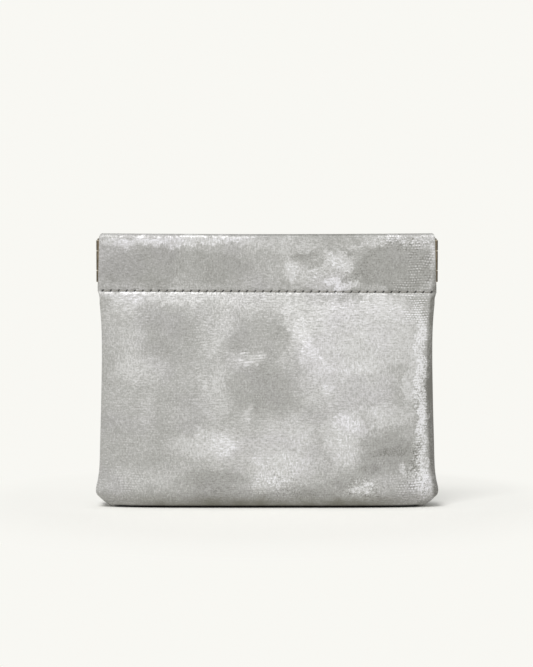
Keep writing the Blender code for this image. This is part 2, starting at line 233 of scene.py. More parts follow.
def attributeOf(tree, name, output="Vector"):
    node = tree.nodes.new("ShaderNodeAttribute")
    node.attribute_name = name
    return node.outputs[output]


socketKinds = {"number": "NodeSocketFloat", "vector": "NodeSocketVector", "color": "NodeSocketColor"}


def makeGroup(name, inputs, outputs):
    # An input is given by its starting number, or by the word vector or color
    group = bpy.data.node_groups.new(name, "ShaderNodeTree")
    for label, value in inputs.items():
        kind = value if value in ("vector", "color") else "number"
        socket = group.interface.new_socket(name=label, in_out="INPUT", socket_type=socketKinds[kind])
        if kind == "number":
            socket.default_value = value
    for label in outputs:
        kind = "color" if label == "Color" else "number"
        group.interface.new_socket(name=label, in_out="OUTPUT", socket_type=socketKinds[kind])
    entry = group.nodes.new("NodeGroupInput")
    leave = group.nodes.new("NodeGroupOutput")
    return group, entry.outputs, leave.inputs


def useGroup(group, **inputs):
    return addNode("Group", inputs, node_tree=group).outputs


def newMaterial(name):
    material = bpy.data.materials.new(name)
    material.use_nodes = True
    tree = material.node_tree
    return material, tree, tree.nodes["Principled BSDF"]


def dress(shader, sockets):
    for label, value in sockets.items():
        plug(shader.inputs[label], value)


def addBump(shader, height, distance, strength=1.0):
    bump = addNode("Bump", {"Height": height, "Distance": distance, "Strength": strength})
    plug(shader.inputs["Normal"], bump.outputs[0])


# One soft-edged patch of lighter or darker foil, added to the tone before it
softPatch, entry, leave = makeGroup(
    "softPatch",
    {"Place": "vector", "Centre": "vector", "Reach": "vector", "Turn": 0.0, "Softness": 0.5,
     "Strength": 0.1, "Before": 0.0},
    ["Tone"])
offset = doVector("SUBTRACT", entry["Place"], entry["Centre"])
turned = addNode("VectorRotate", {"Vector": offset, "Angle": entry["Turn"]}, rotation_type="Z_AXIS")
reached = doVector("LENGTH", doVector("DIVIDE", turned.outputs[0], entry["Reach"]))
inside = remap(reached, minus(1.0, entry["Softness"]), plus(1.0, entry["Softness"]), 1.0, 0.0)
plug(leave["Tone"], timesPlus(inside, entry["Strength"], entry["Before"]))

# Fine crossed brush lines of rubbed foil, whose main direction changes from place to place
hatchShape = {"wanderSize": 220.0, "wander": 1.6, "stretch": 0.34, "apart": (31.0, 17.0, 5.0),
              "turning": (0.4, 0.6), "lineLevels": (0.36, 0.68), "speckLevels": (0.29, 0.42)}
brushedHatch, entry, leave = makeGroup(
    "brushedHatch",
    {"Place": "vector", "Line Spacing": 900.0, "Drift": 60.0},
    ["Lines", "Specks"])
wander = doVector("SCALE", waver(entry["Place"], hatchShape["wanderSize"]), hatchShape["wander"])
fine = doVector("ADD", doVector("SCALE", entry["Place"], entry["Line Spacing"]), wander)
flatWays = doVector("MULTIPLY", fine, (hatchShape["stretch"], 1.0, 1.0))
uprightWays = doVector("MULTIPLY", fine, (1.0, hatchShape["stretch"], 1.0))
flatLines = cloud(flatWays, 1.0, 2.0, 0.6)
uprightLines = cloud(doVector("ADD", uprightWays, hatchShape["apart"]), 1.0, 2.0, 0.6)
direction = remap(cloud(entry["Place"], entry["Drift"], 2.0), *hatchShape["turning"])
chosen = addNode("Mix", {0: direction, 2: flatLines, 3: uprightLines}).outputs[0]
crossed = doMath("MAXIMUM", flatLines, uprightLines)
plug(leave["Lines"], remap(timesPlus(crossed, 0.5, times(chosen, 0.5)), *hatchShape["lineLevels"]))
plug(leave["Specks"], remap(times(flatLines, uprightLines), *hatchShape["speckLevels"]))

# Rows of short dashes, as of a printed weave, that wander a little
weaveShape = {"wanderSize": 160.0, "dashShare": 0.35, "rowShare": 0.65}
dashedWeave, entry, leave = makeGroup(
    "dashedWeave",
    {"Place": "vector", "Row Pitch": 0.00086, "Dash Pitch": 0.00098, "Wander": 0.0016},
    ["Dashes"])
wander = doVector("SCALE", waver(entry["Place"], weaveShape["wanderSize"]), entry["Wander"])
axes = axesOf(doVector("ADD", entry["Place"], wander))
rowPlace = doMath("DIVIDE", axes["Y"], entry["Row Pitch"])
rowWave = doMath("COSINE", times(rowPlace, 2 * math.pi))
halfRows = times(doMath("ROUND", rowPlace), 0.5)
dashPlace = plus(doMath("DIVIDE", axes["X"], entry["Dash Pitch"]), halfRows)
dashWave = doMath("COSINE", times(dashPlace, 2 * math.pi))
plug(leave["Dashes"], timesPlus(dashWave, weaveShape["dashShare"], times(rowWave, weaveShape["rowShare"])))

# Leather grain: shallow cells and creases
grainShape = {"bendSize": 400.0, "bend": 0.0007, "hollowLevels": (0.15, 0.75), "hollowHeight": 0.5}
leatherGrain, entry, leave = makeGroup(
    "leatherGrain",
    {"Place": "vector", "Scale": 900.0, "Crease Scale": 160.0},
    ["Height", "Hollows"])
bend = doVector("SCALE", cloud(entry["Place"], grainShape["bendSize"], 1.0, color=True), grainShape["bend"])
cells = addNode("TexVoronoi", {"Vector": doVector("ADD", entry["Place"], bend), "Scale": entry["Scale"]},
                feature="SMOOTH_F1")
hollows = remap(cells.outputs["Distance"], *grainShape["hollowLevels"], 1.0, 0.0)
creases = cloud(entry["Place"], entry["Crease Scale"], 4.0, 0.6, 0.6)
plug(leave["Height"], timesPlus(hollows, grainShape["hollowHeight"], creases))
plug(leave["Hollows"], hollows)

# Rubbed bright edges: the edge value comes from the mesh, and noise breaks it up
edgeShape = {"unbroken": 0.62, "levels": (0.25, 0.75)}
rubbedEdge, entry, leave = makeGroup(
    "rubbedEdge",
    {"Edge": 0.0, "Place": "vector", "Scale": 700.0, "Amount": 0.7},
    ["Mask"])
broken = cloud(entry["Place"], entry["Scale"], 4.0, 0.65)
rubbed = plus(entry["Edge"], minus(broken, edgeShape["unbroken"]))
plug(leave["Mask"], times(remap(rubbed, *edgeShape["levels"]), entry["Amount"]))

# Painted shade low down, where the leather turns under, in an olive tint that is less towards the corners,
# and a painted black contact shadow along the underside of the fold
lowShadeShape = {"color": (112, 110, 97), "contactShadowColor": (4, 4, 3), "unevenSize": 150.0, "uneven": 0.006,
              "corners": (0.032, 0.054, 1.0, 0.15), "underHeight": (0.0003, 0.0012),
              "underEnds": (0.0495, 0.0530)}
paintedLowShade, entry, leave = makeGroup(
    "paintedLowShade",
    {"Color": "color", "Rest": "vector", "Low": 0.0058, "Olive": 0.85, "Underside": 1.0},
    ["Color", "Mask", "Contact Shadow"])
axes = axesOf(entry["Rest"])
uneven = times(swing(entry["Rest"], lowShadeShape["unevenSize"], 4.0), lowShadeShape["uneven"])
low = remap(plus(axes["Z"], uneven), 0.0, entry["Low"], 1.0, 0.0)
fromMiddle = doMath("ABSOLUTE", axes["X"])
corner = remap(fromMiddle, *lowShadeShape["corners"])
# painted shade of the leather turning under, in an olive tint
olive = mixColors(times(times(low, corner), entry["Olive"]), entry["Color"],
                  linearColor(*lowShadeShape["color"]))
# painted contact shadow: near black on the lowest millimetre, short of the corners
contactShadow = times(remap(axes["Z"], *lowShadeShape["underHeight"], 1.0, 0.0), entry["Underside"])
contactShadow = times(contactShadow, remap(fromMiddle, *lowShadeShape["underEnds"], 1.0, 0.0))
plug(leave["Color"], mixColors(contactShadow, olive, linearColor(*lowShadeShape["contactShadowColor"])))
plug(leave["Mask"], low)
plug(leave["Contact Shadow"], contactShadow)

# Painted shade in the needle holes along the line of stitches, and the thread's painted shadow under them
holeShape = {"narrow": 0.78, "lean": -0.30, "rim": (0.70, 1.15), "pastLast": 0.0008, "shadowDrop": 0.00016,
             "shadowRim": (0.00005, 0.00032)}
needleHoles, entry, leave = makeGroup(
    "needleHoles",
    {"Rest": "vector", "Pitch": 0.0026, "Last Hole": 0.055, "Line": 0.0726, "Slope": 0.0003,
     "Radius": 0.00045},
    ["Mask", "Thread Shadow"])
axes = axesOf(entry["Rest"])
fromEnd = doMath("DIVIDE", plus(axes["X"], entry["Last Hole"]), entry["Pitch"])
sideways = times(minus(fromEnd, doMath("ROUND", fromEnd)), entry["Pitch"])
drift = times(doMath("DIVIDE", axes["X"], entry["Last Hole"]), entry["Slope"])
rise = plus(minus(axes["Z"], entry["Line"]), drift)
spot = joinAxes(times(sideways, holeShape["narrow"]), timesPlus(sideways, holeShape["lean"], rise))
away = doVector("LENGTH", doVector("DIVIDE", spot, entry["Radius"]))
inRow = doMath("LESS_THAN", doMath("ABSOLUTE", axes["X"]), plus(entry["Last Hole"], holeShape["pastLast"]))
plug(leave["Mask"], times(remap(away, *holeShape["rim"], 1.0, 0.0), inRow))
below = doMath("ABSOLUTE", plus(rise, holeShape["shadowDrop"]))
plug(leave["Thread Shadow"], times(remap(below, *holeShape["shadowRim"], 1.0, 0.0), inRow))

# The worn silver foil, on every piece that has it. A size is in repeats of the noise in a metre.
foilLook = {
    "middleTone": 0.47,
    "crispness": 0.6,
    "raggedEdge": ((85.0, 0.0085), (290.0, 0.0055), (900.0, 0.0032)),      # size and reach of torn edges
    "strokeShape": (0.00032, 0.6, 4),    # half width, softness and turn of a brush stroke
    # how dark the painted shade of the seam strip is
    "seamStripTone": -0.41,
    "blotches": ((38.0, 0.20), (120.0, 0.30)),      # size and tone, large and small
    "speckleSize": 1900.0, "speckleTone": 0.84,
    "fleckSize": 950.0,
    "brightness": (0.40, 0.85),
    "hatch": {"Line Spacing": 1900.0, "Drift": 75.0},
    "hatchTone": (0.20, 0.22),           # more of it where the foil is bright, and at the least
    "weaveTone": (0.50, -0.12),          # of the dashes, and of the leather round them
    "dashLevels": (0.0, 0.7),
    "weaveSize": 85.0, "weaveSpots": (0.42, 0.62), "weaveShare": 0.22,      # where weave shows by itself
    "wearSize": 260.0, "wearLevels": (0.38, 0.60, 0.15, 1.0),
    "glintSize": 210.0, "glintSpots": (0.48, 0.66), "glintTone": 0.20,
    "levels": [(0.0, (118, 117, 112)), (0.26, (157, 156.5, 153)), (0.40, (170, 169.5, 166.5)),
               (0.50, (182, 181.5, 179.5)), (0.60, (197, 196.5, 195)), (0.72, (207, 206.5, 206)),
               (0.86, (217, 216.5, 217.5)), (1.0, (239, 239, 242))],
    "tint": (252, 250, 255), "tintSize": 55.0, "tintSpots": (0.45, 0.7), "tintShare": 0.5,
    "grain": {"Scale": 1150.0, "Crease Scale": 210.0},
    "hollow": (120, 118, 110), "hollowShare": 0.10,
    "threadShadow": (96, 94, 88), "shadowShare": 0.10,
    "hole": (30, 29, 27), "holeShare": 0.92,
    "metallic": 0.12, "metallicGain": 0.5,
    "roughness": 0.50, "roughnessGain": -0.22, "lowBandRoughness": 0.12,
    "lineHeight": 0.35,
    "bump": (0.00009, 0.8),
}

# Where the foil is lighter or darker, and where light and shade are painted as marked below: label, centre,
# reach, strength, softness and turn of each patch.
# The patches have torn edges and the shades have even ones. The weave and the cracks show in their patches.
# The shift says where in the noise the piece begins.
basePlaces = {"shift": 0.11, "patches": [], "shades": [], "strokes": [], "seamStrip": [], "woven": [],
              "cracked": []}
frontPlaces = {
    "shift": 0.0,
    "patches": [
        # Partly painted highlight along the top of the fold, over the foil's own tone
        ("headerBand", (-0.0320, 0.0894), (0.0250, 0.0018), 0.30, 0.5, 2),
        ("headerBandMiddle", (-0.0125, 0.0891), (0.0065, 0.0013), 0.13, 0.5, 0),
        ("headerBandEnd", (0.0050, 0.0884), (0.0130, 0.0020), 0.12, 0.5, 2),
        ("headerGleam", (-0.0420, 0.0899), (0.0065, 0.0012), 0.12, 0.6, 0),
        ("headerShade", (-0.0310, 0.0805), (0.0255, 0.0062), -0.13, 0.22, 0),
        ("headerFoot", (-0.0275, 0.0758), (0.0045, 0.0022), 0.09, 0.6, 0),
        ("headerColumn", (0.0078, 0.0795), (0.0016, 0.0060), 0.15, 0.5, 0),
        ("headerMiddle", (0.0180, 0.0790), (0.0118, 0.0066), 0.18, 0.3, 0),
        ("headerSmudge", (0.0140, 0.0838), (0.0050, 0.0026), -0.20, 0.5, -4),
        ("arrowHigh", (0.0250, 0.0828), (0.0050, 0.0031), 0.17, 0.3, -14),
        ("arrowStreak", (0.0275, 0.0867), (0.0035, 0.0009), -0.12, 0.4, -4),
        ("arrowLow", (0.0252, 0.0752), (0.0062, 0.0019), 0.34, 0.25, -8),
        ("arrowWedge", (0.0279, 0.0780), (0.0037, 0.0014), -0.20, 0.18, 22),
        ("arrowFoot", (0.0320, 0.0766), (0.0030, 0.0016), -0.07, 0.3, -24),
        ("arrowShade", (0.0434, 0.0805), (0.0125, 0.0080), -0.18, 0.2, 5),
        ("cornerFlecks", (0.0420, 0.0894), (0.0160, 0.0014), 0.13, 0.4, 5),
        ("headerEnd", (0.0551, 0.0800), (0.0012, 0.0085), 0.18, 0.5, 0),
        # Partly painted highlight: the band just under the stitches, where the leather bulges up towards the
        # light, over the foil's own tone
        ("underStitchLeft", (-0.0350, 0.0710), (0.0220, 0.0019), 0.16, 0.45, 0),
        ("underStitchCorner", (-0.0475, 0.0688), (0.0050, 0.0040), 0.12, 0.6, 14),
        ("underStitchMiddle", (0.0000, 0.0695), (0.0200, 0.0034), 0.08, 0.5, 0),
        ("underStitchDark", (0.0290, 0.0705), (0.0050, 0.0014), -0.20, 0.5, -3),
        ("shoulderShade", (-0.0310, 0.0590), (0.0105, 0.0080), -0.07, 0.5, -20),
        ("shoulderLight", (-0.0480, 0.0590), (0.0075, 0.0100), 0.06, 0.6, 0),
        ("swirl", (-0.0190, 0.0570), (0.0036, 0.0064), 0.07, 0.4, 6),
        ("swirlArm", (-0.0140, 0.0615), (0.0026, 0.0050), 0.11, 0.4, -16),
        ("middleShade", (-0.0015, 0.0560), (0.0105, 0.0078), -0.12, 0.2, 12),
        ("middleHollow", (-0.0010, 0.0405), (0.0130, 0.0078), -0.10, 0.4, -12),
        ("strokes", (-0.0048, 0.0508), (0.0054, 0.0028), 0.16, 0.5, 6),
        ("field", (0.0310, 0.0585), (0.0230, 0.0130), 0.18, 0.22, 4),
        ("fieldRim", (0.0102, 0.0612), (0.0030, 0.0086), 0.14, 0.35, 34),
        ("fieldTop", (0.0410, 0.0675), (0.0070, 0.0040), 0.06, 0.5, 0),
        ("fieldLow", (0.0152, 0.0495), (0.0040, 0.0062), 0.12, 0.4, 30),
        ("fieldFoot", (0.0270, 0.0400), (0.0180, 0.0080), 0.10, 0.5, 0),
        ("fieldSpot", (0.0203, 0.0412), (0.0024, 0.0024), 0.16, 0.5, 0),
        ("leftCloud", (-0.0425, 0.0465), (0.0095, 0.0040), 0.13, 0.6, 4),
        ("leftMist", (-0.0392, 0.0335), (0.0030, 0.0060), 0.07, 0.6, 0),
        ("column", (-0.0172, 0.0370), (0.0044, 0.0090), 0.09, 0.5, 0),
        ("fleck", (-0.0065, 0.0330), (0.0018, 0.0034), 0.14, 0.5, 0),
        ("lowerCloud", (-0.0200, 0.0220), (0.0125, 0.0050), 0.18, 0.5, 4),
        ("lowerGleam", (-0.0145, 0.0222), (0.0050, 0.0030), 0.12, 0.6, 0),
        ("middleMist", (0.0055, 0.0255), (0.0085, 0.0070), 0.13, 0.6, 0),
        ("lowerMist", (0.0045, 0.0140), (0.0090, 0.0056), 0.18, 0.6, 0),
        ("lowerHatch", (0.0000, 0.0080), (0.0050, 0.0028), 0.12, 0.4, 0),
        ("cloudRight", (0.0250, 0.0245), (0.0066, 0.0085), 0.20, 0.35, 20),
        ("cloudHigh", (0.0300, 0.0305), (0.0080, 0.0034), 0.12, 0.5, 0),
        ("ledge", (0.0410, 0.0310), (0.0080, 0.0036), 0.17, 0.4, 6),
        ("rightShade", (0.0420, 0.0165), (0.0104, 0.0056), -0.13, 0.25, 8),
        ("rightShadeTop", (0.0390, 0.0218), (0.0096, 0.0032), -0.11, 0.22, 0),
        ("rightShadeTail", (0.0300, 0.0110), (0.0090, 0.0026), -0.10, 0.3, 16),
        ("rightFoot", (0.0190, 0.0062), (0.0110, 0.0026), -0.10, 0.5, 8),
        ("rightFleck", (0.0467, 0.0138), (0.0011, 0.0022), 0.30, 0.5, 0),
        ("lowFlecks", (0.0320, 0.0066), (0.0036, 0.0015), 0.30, 0.4, 0),
        # Partly painted highlight: the band where the right side starts to turn, over the foil's own tone
        ("rightGleam", (0.0488, 0.0430), (0.0028, 0.0085), 0.22, 0.4, -8),
        ("rightBand", (0.0515, 0.0480), (0.0019, 0.0200), 0.28, 0.4, 0),
        ("rightBandMiddle", (0.0518, 0.0290), (0.0019, 0.0060), 0.36, 0.4, 0),
        ("rightBandLow", (0.0533, 0.0165), (0.0016, 0.0090), 0.34, 0.4, -4),
        ("rightCorner", (0.0525, 0.0085), (0.0034, 0.0050), 0.24, 0.5, 0),
        ("leftShade", (-0.0430, 0.0400), (0.0190, 0.0290), -0.05, 0.5, 0),
        ("lowerField", (0.0050, 0.0205), (0.0260, 0.0110), 0.06, 0.5, 0),
        ("lowerShade", (-0.0180, 0.0098), (0.0110, 0.0036), -0.16, 0.5, 0),
        ("leftFoot", (-0.0410, 0.0115), (0.0110, 0.0040), 0.05, 0.6, 0),
    ],
    "shades": [
        # Painted shade: along the crest of the fold, where the right side bends to its seam, and low down
        # where the leather turns under
        ("topLine", (0.0060, 0.0922), (0.0520, 0.0008), -0.22, 0.4, 0),
        ("topShade", (0.0140, 0.0915), (0.0270, 0.0009), -0.14, 0.4, 0),
        ("seamBend", (0.0548, 0.0405), (0.0024, 0.0050), -0.16, 0.4, 0),
        ("footShade", (-0.0060, 0.0040), (0.0290, 0.0030), -0.12, 0.5, 0),
    ],
    # Single brush strokes of bright foil: middle, half length, strength
    "strokes": [((-0.0032, 0.0543), 0.0023, 0.14), ((-0.0074, 0.0533), 0.0016, 0.16),
                ((-0.0024, 0.0527), 0.0013, 0.18), ((-0.0081, 0.0522), 0.0020, 0.20),
                ((-0.0030, 0.0513), 0.0030, 0.18), ((-0.0033, 0.0505), 0.0029, 0.24),
                ((-0.0088, 0.0499), 0.0009, 0.24), ((-0.0058, 0.0492), 0.0030, 0.30),
                ((-0.0070, 0.0483), 0.0009, 0.26), ((-0.0034, 0.0483), 0.0008, 0.26),
                ((-0.0030, 0.0471), 0.0010, 0.16)],
    # Painted shade: the strip where the right side turns to its seam, away from the light
    "seamStrip": [("seamStrip", (0.0590, 0.0420), (0.0055, 0.0450), 1.0, 0.10, 0)],
    "woven": [
        ("wovenHeaderEnd", (0.0512, 0.0815), (0.0046, 0.0080), 1.0, 0.5, 0),
        ("wovenHeaderFoot", (0.0443, 0.0747), (0.0030, 0.0018), 1.0, 0.4, 0),
        ("wovenHeaderTop", (0.0460, 0.0886), (0.0095, 0.0018), 0.7, 0.5, 0),
        ("wovenShoulder", (0.0505, 0.0665), (0.0046, 0.0062), 1.2, 0.4, 0),
        ("wovenSide", (0.0520, 0.0350), (0.0026, 0.0280), 0.8, 0.5, 0),
        ("wovenCorner", (0.0480, 0.0065), (0.0055, 0.0040), 0.8, 0.6, 0),
        ("wovenFoot", (0.0010, 0.0075), (0.0060, 0.0034), 0.5, 0.6, 0),
        ("wovenLeftFoot", (-0.0475, 0.0080), (0.0070, 0.0045), 0.4, 0.6, 0),
    ],
    "cracked": [
        ("crackedBand", (0.0520, 0.0300), (0.0026, 0.0270), 2.4, 0.5, 0),
        ("crackedCorner", (0.0500, 0.0100), (0.0045, 0.0070), 1.0, 0.5, 0),
        ("crackedFoot", (0.0045, 0.0085), (0.0065, 0.0045), 1.4, 0.6, 0),
        ("crackedLow", (0.0330, 0.0062), (0.0065, 0.0028), 1.8, 0.5, 0),
        ("crackedTop", (0.0460, 0.0894), (0.0110, 0.0020), 2.0, 0.5, 0),
        ("crackedHeader", (0.0200, 0.0800), (0.0110, 0.0062), 0.7, 0.5, 0),
    ],
}
backPlaces = {
    **basePlaces,
    "shift": 0.37,
    "patches": [
        ("backHeaderShade", (0.0250, 0.0800), (0.0280, 0.0060), -0.20, 0.4, 0),
        ("backHeaderLight", (-0.0300, 0.0815), (0.0200, 0.0058), 0.20, 0.4, 5),
        ("backField", (-0.0200, 0.0440), (0.0260, 0.0200), 0.18, 0.4, 14),
        ("backShade", (0.0240, 0.0520), (0.0150, 0.0170), -0.18, 0.5, -12),
        ("backLowShade", (-0.0330, 0.0160), (0.0140, 0.0080), -0.20, 0.4, 0),
        ("backLowLight", (0.0200, 0.0160), (0.0180, 0.0060), 0.22, 0.6, 6),
        ("backEdgeLeft", (-0.0521, 0.0400), (0.0026, 0.0250), 0.28, 0.5, 0),
        ("backEdgeRight", (0.0521, 0.0320), (0.0026, 0.0230), 0.24, 0.5, 0),
        ("backUnderStitch", (0.0100, 0.0700), (0.0300, 0.0022), 0.24, 0.6, 0),
    ],
}


def layPatches(patches, where, before, crispness=1.0):
    # each patch adds its strength to the tone before it
    tone = before
    for label, centre, reach, strength, softness, turn in patches:
        tone = useGroup(softPatch, Place=where, Centre=(*centre, 0.0), Reach=(*reach, 1.0),
                        Turn=math.radians(-turn), Softness=softness * crispness, Strength=strength,
                        Before=tone)["Tone"]
        tone.node.label = label
    return tone


def foilTone(places, rest, place, hatch):
    # how light the foil is: its patches, then blotches, speckles, flecks, brush lines, weave and glints
    look = foilLook
    axes = axesOf(rest)
    flat = joinAxes(axes["X"], axes["Z"])
    torn = flat
    for size, reach in look["raggedEdge"]:
        torn = doVector("MULTIPLY_ADD", waver(place, size, 4.0, 0.65), (reach, reach, 0.0), torn)
    width, softness, turn = look["strokeShape"]
    strokes = [("brushStroke", centre, (half, width), strength, softness, turn)
               for centre, half, strength in places["strokes"]]
    tone = layPatches(places["patches"], torn, look["middleTone"], look["crispness"])
    tone = layPatches(places["shades"] + strokes, flat, tone)
    # painted shade along the right seam, where the flecks and the weave are held off too
    bare = 1.0
    if places["seamStrip"]:
        strip = layPatches(places["seamStrip"], flat, 0.0)
        tone = timesPlus(strip, look["seamStripTone"], tone)
        bare = minus(1.0, strip)
    for size, share in look["blotches"]:
        tone = timesPlus(swing(place, size, 4.0, 0.6, 0.4), share, tone)
    brightness = remap(tone, *look["brightness"])
    tone = timesPlus(swing(place, look["speckleSize"], 3.0, 0.75), look["speckleTone"], tone)
    if places["cracked"]:
        flecks = times(swing(place, look["fleckSize"], 3.0, 0.8), layPatches(places["cracked"], torn, 0.0))
        tone = timesPlus(flecks, bare, tone)
    tone = timesPlus(minus(hatch["Lines"], 0.5), timesPlus(brightness, *look["hatchTone"]), tone)
    showing = times(remap(cloud(place, look["weaveSize"], 3.0, 0.6), *look["weaveSpots"]), look["weaveShare"])
    showing = layPatches(places["woven"], torn, showing)
    worn = remap(cloud(place, look["wearSize"], 3.0, 0.6), *look["wearLevels"])
    dashes = remap(useGroup(dashedWeave, Place=place)["Dashes"], *look["dashLevels"])
    tone = timesPlus(timesPlus(dashes, *look["weaveTone"]), times(times(showing, worn), bare), tone)
    patchy = remap(cloud(place, look["glintSize"], 3.0), *look["glintSpots"])
    glints = times(times(hatch["Specks"], patchy), brightness)
    return timesPlus(glints, look["glintTone"], tone, clamp=True)


def buildFoil(name, places):
    # Silver foil leather. The places are stored in the mesh, so the finish bends with it.
    material, tree, shader = newMaterial(name)
    look = foilLook
    rest = attributeOf(tree, "restPlace")
    place = attributeOf(tree, "leatherPlace")
    shift = places["shift"]
    if shift:
        place = doVector("ADD", place, (shift, shift * 2, shift * 3))
    hatch = useGroup(brushedHatch, Place=place, **look["hatch"])
    grain = useGroup(leatherGrain, Place=place, **look["grain"])
    tone = foilTone(places, rest, place, hatch)
    tinted = times(remap(cloud(place, look["tintSize"], 2.0), *look["tintSpots"]), look["tintShare"])
    color = mixColors(tinted, rampColor(tone, look["levels"]), linearColor(*look["tint"]), "MULTIPLY")
    color = mixColors(times(grain["Hollows"], look["hollowShare"]), color, linearColor(*look["hollow"]))
    lowShaded = useGroup(paintedLowShade, Color=color, Rest=rest)
    row = useGroup(needleHoles, **{
        "Rest": rest, "Pitch": holePitch, "Last Hole": stitching["lastHole"], "Line": pouch["stitchLine"],
        "Slope": pouch["stitchSlope"], "Radius": stitching["holeRadius"]})
    # painted shadow of the thread under the stitches
    color = mixColors(times(row["Thread Shadow"], look["shadowShare"]), lowShaded["Color"],
                      linearColor(*look["threadShadow"]))
    shine = roundMiddle(tone, look["metallicGain"], look["metallic"], clamp=True)
    rough = roundMiddle(tone, look["roughnessGain"], look["roughness"])
    dress(shader, {
        # painted shade in the needle holes
        "Base Color": mixColors(times(row["Mask"], look["holeShare"]), color, linearColor(*look["hole"])),
        # metal with a black colour where the contact shadow is painted, so that nothing is reflected there
        "Metallic": doMath("MAXIMUM", lowShaded["Contact Shadow"], times(shine, minus(1.0, row["Mask"]))),
        "Roughness": timesPlus(lowShaded["Mask"], look["lowBandRoughness"], rough, clamp=True)})
    addBump(shader, timesPlus(hatch["Lines"], look["lineHeight"], grain["Height"]), *look["bump"])
    return material


frontFoil = buildFoil("frontFoil", frontPlaces)
backFoil = buildFoil("backFoil", backPlaces)
baseFoil = buildFoil("baseFoil", basePlaces)


def fibreColor(first, second, look):
    # half of each, from the shade to the colour
    mixed = timesPlus(first, 0.5, times(second, 0.5))
    return rampColor(remap(mixed, *look["levels"]), [(0.0, look["shade"]), (1.0, look["color"])])


# Unlined flesh side of the leather
suedeLook = {"color": (158, 152, 141), "shade": (122, 116, 105), "levels": (0.36, 0.64), "napSize": 90.0,
             "fibreSize": 1500.0, "stretch": 0.35, "roughness": (0.1, 0.87), "sheen": 0.25,
             "sheenRoughness": 0.5, "specular": 0.25, "bump": 0.00012}


def buildSuede():
    material, tree, shader = newMaterial("suedeInside")
    place = attributeOf(tree, "leatherPlace")
    nap = cloud(place, suedeLook["napSize"], 4.0, 0.6, 0.5)
    brushed = doVector("MULTIPLY", place, (1.0, suedeLook["stretch"], 1.0))
    fibres = cloud(brushed, suedeLook["fibreSize"], 3.0, 0.7)
    dress(shader, {"Base Color": fibreColor(fibres, nap, suedeLook),
                   "Roughness": timesPlus(fibres, *suedeLook["roughness"]),
                   "Sheen Weight": suedeLook["sheen"],
                   "Sheen Roughness": suedeLook["sheenRoughness"],
                   "Specular IOR Level": suedeLook["specular"]})
    addBump(shader, fibres, suedeLook["bump"])
    return material


suedeInside = buildSuede()

# Cut edges of the leather
edgeLook = {"color": (142, 138, 129), "shade": (96, 92, 84), "levels": (0.38, 0.62), "fibreSize": 1800.0,
            "layerSize": 260.0, "roughness": (0.2, 0.62), "bump": 0.00010}


def buildCutEdge():
    material, tree, shader = newMaterial("cutEdge")
    place = attributeOf(tree, "restPlace")
    fibres = cloud(place, edgeLook["fibreSize"], 4.0, 0.7)
    layers = cloud(place, edgeLook["layerSize"], 2.0)
    dress(shader, {"Base Color": fibreColor(layers, fibres, edgeLook),
                   "Roughness": timesPlus(fibres, *edgeLook["roughness"])})
    addBump(shader, fibres, edgeLook["bump"])
    return material


cutEdge = buildCutEdge()

# Antique plated spring steel and brass, with painted shade on the outer side of each knuckle
springLook = {"dark": (104, 93, 77), "brown": (148, 136, 118), "rubbed": (190, 174, 146),
              "outerTurn": (74, 65, 52), "outerShare": (0.60, 0.80), "turnDark": (-0.5, 1.2),
              "blotchSize": 420.0, "lineSize": 5200.0, "lineStretch": 0.1, "lineTone": 0.25,
              "levels": (0.45, 0.8), "metallic": 0.9, "roughness": (0.3, 0.25), "rubbedRoughness": -0.08,
              "pinEdgeSize": 900.0, "pinEdge": (0.45, 0.8), "lineHeight": 0.4, "bump": 0.00003}


def buildAgedPlate(name, placeName, wear):
    # with a place name the mesh says where edges and outer turns lie, and without one noise does
    material, tree, shader = newMaterial(name)
    look = springLook
    if placeName:
        place = attributeOf(tree, placeName)
        edge = attributeOf(tree, "edgeShare", "Fac")
        outer = remap(attributeOf(tree, "outerShare", "Fac"), *look["outerShare"])
    else:
        place = tree.nodes.new("ShaderNodeTexCoord").outputs["Object"]
        edge = remap(cloud(place, look["pinEdgeSize"], 2.0), *look["pinEdge"])
        outer = 1.0
    blotch = cloud(place, look["blotchSize"], 4.0, 0.6)
    lines = cloud(doVector("MULTIPLY", place, (look["lineStretch"], 1.0, 1.0)), look["lineSize"], 2.0, 0.6)
    base = rampColor(remap(timesPlus(lines, look["lineTone"], blotch), *look["levels"]),
                     [(0.0, look["dark"]), (1.0, look["brown"])])
    # painted shade on the outer side of each knuckle, which turns away from the light; the pins, with no
    # outer side given, are darkened all over
    darkTurn = times(outer, timesPlus(blotch, *look["turnDark"]), clamp=True)
    base = mixColors(darkTurn, base, linearColor(*look["outerTurn"]))
    mask = useGroup(rubbedEdge, Edge=edge, Place=place, Amount=wear)["Mask"]
    rough = timesPlus(blotch, *look["roughness"])
    dress(shader, {"Base Color": mixColors(mask, base, linearColor(*look["rubbed"])),
                   "Metallic": look["metallic"],
                   "Roughness": timesPlus(mask, look["rubbedRoughness"], rough, clamp=True)})
    addBump(shader, timesPlus(lines, look["lineHeight"], blotch), look["bump"])
    return material


agedSpring = buildAgedPlate("agedSpring", "stripPlace", 0.85)
agedPin = buildAgedPlate("agedPin", None, 0.6)

# Twisted grey sewing thread, with painted shade in the grooves between its plies
threadLook = {"color": (196, 194, 188), "shade": (118, 115, 108), "plies": 3.0, "twist": 0.0011,
              "fuzzSize": 2600.0, "fuzzTone": 0.4, "ridgeTone": 0.6, "roughness": (0.2, 0.6),
              "fuzzHeight": 0.3, "bump": 0.00008}


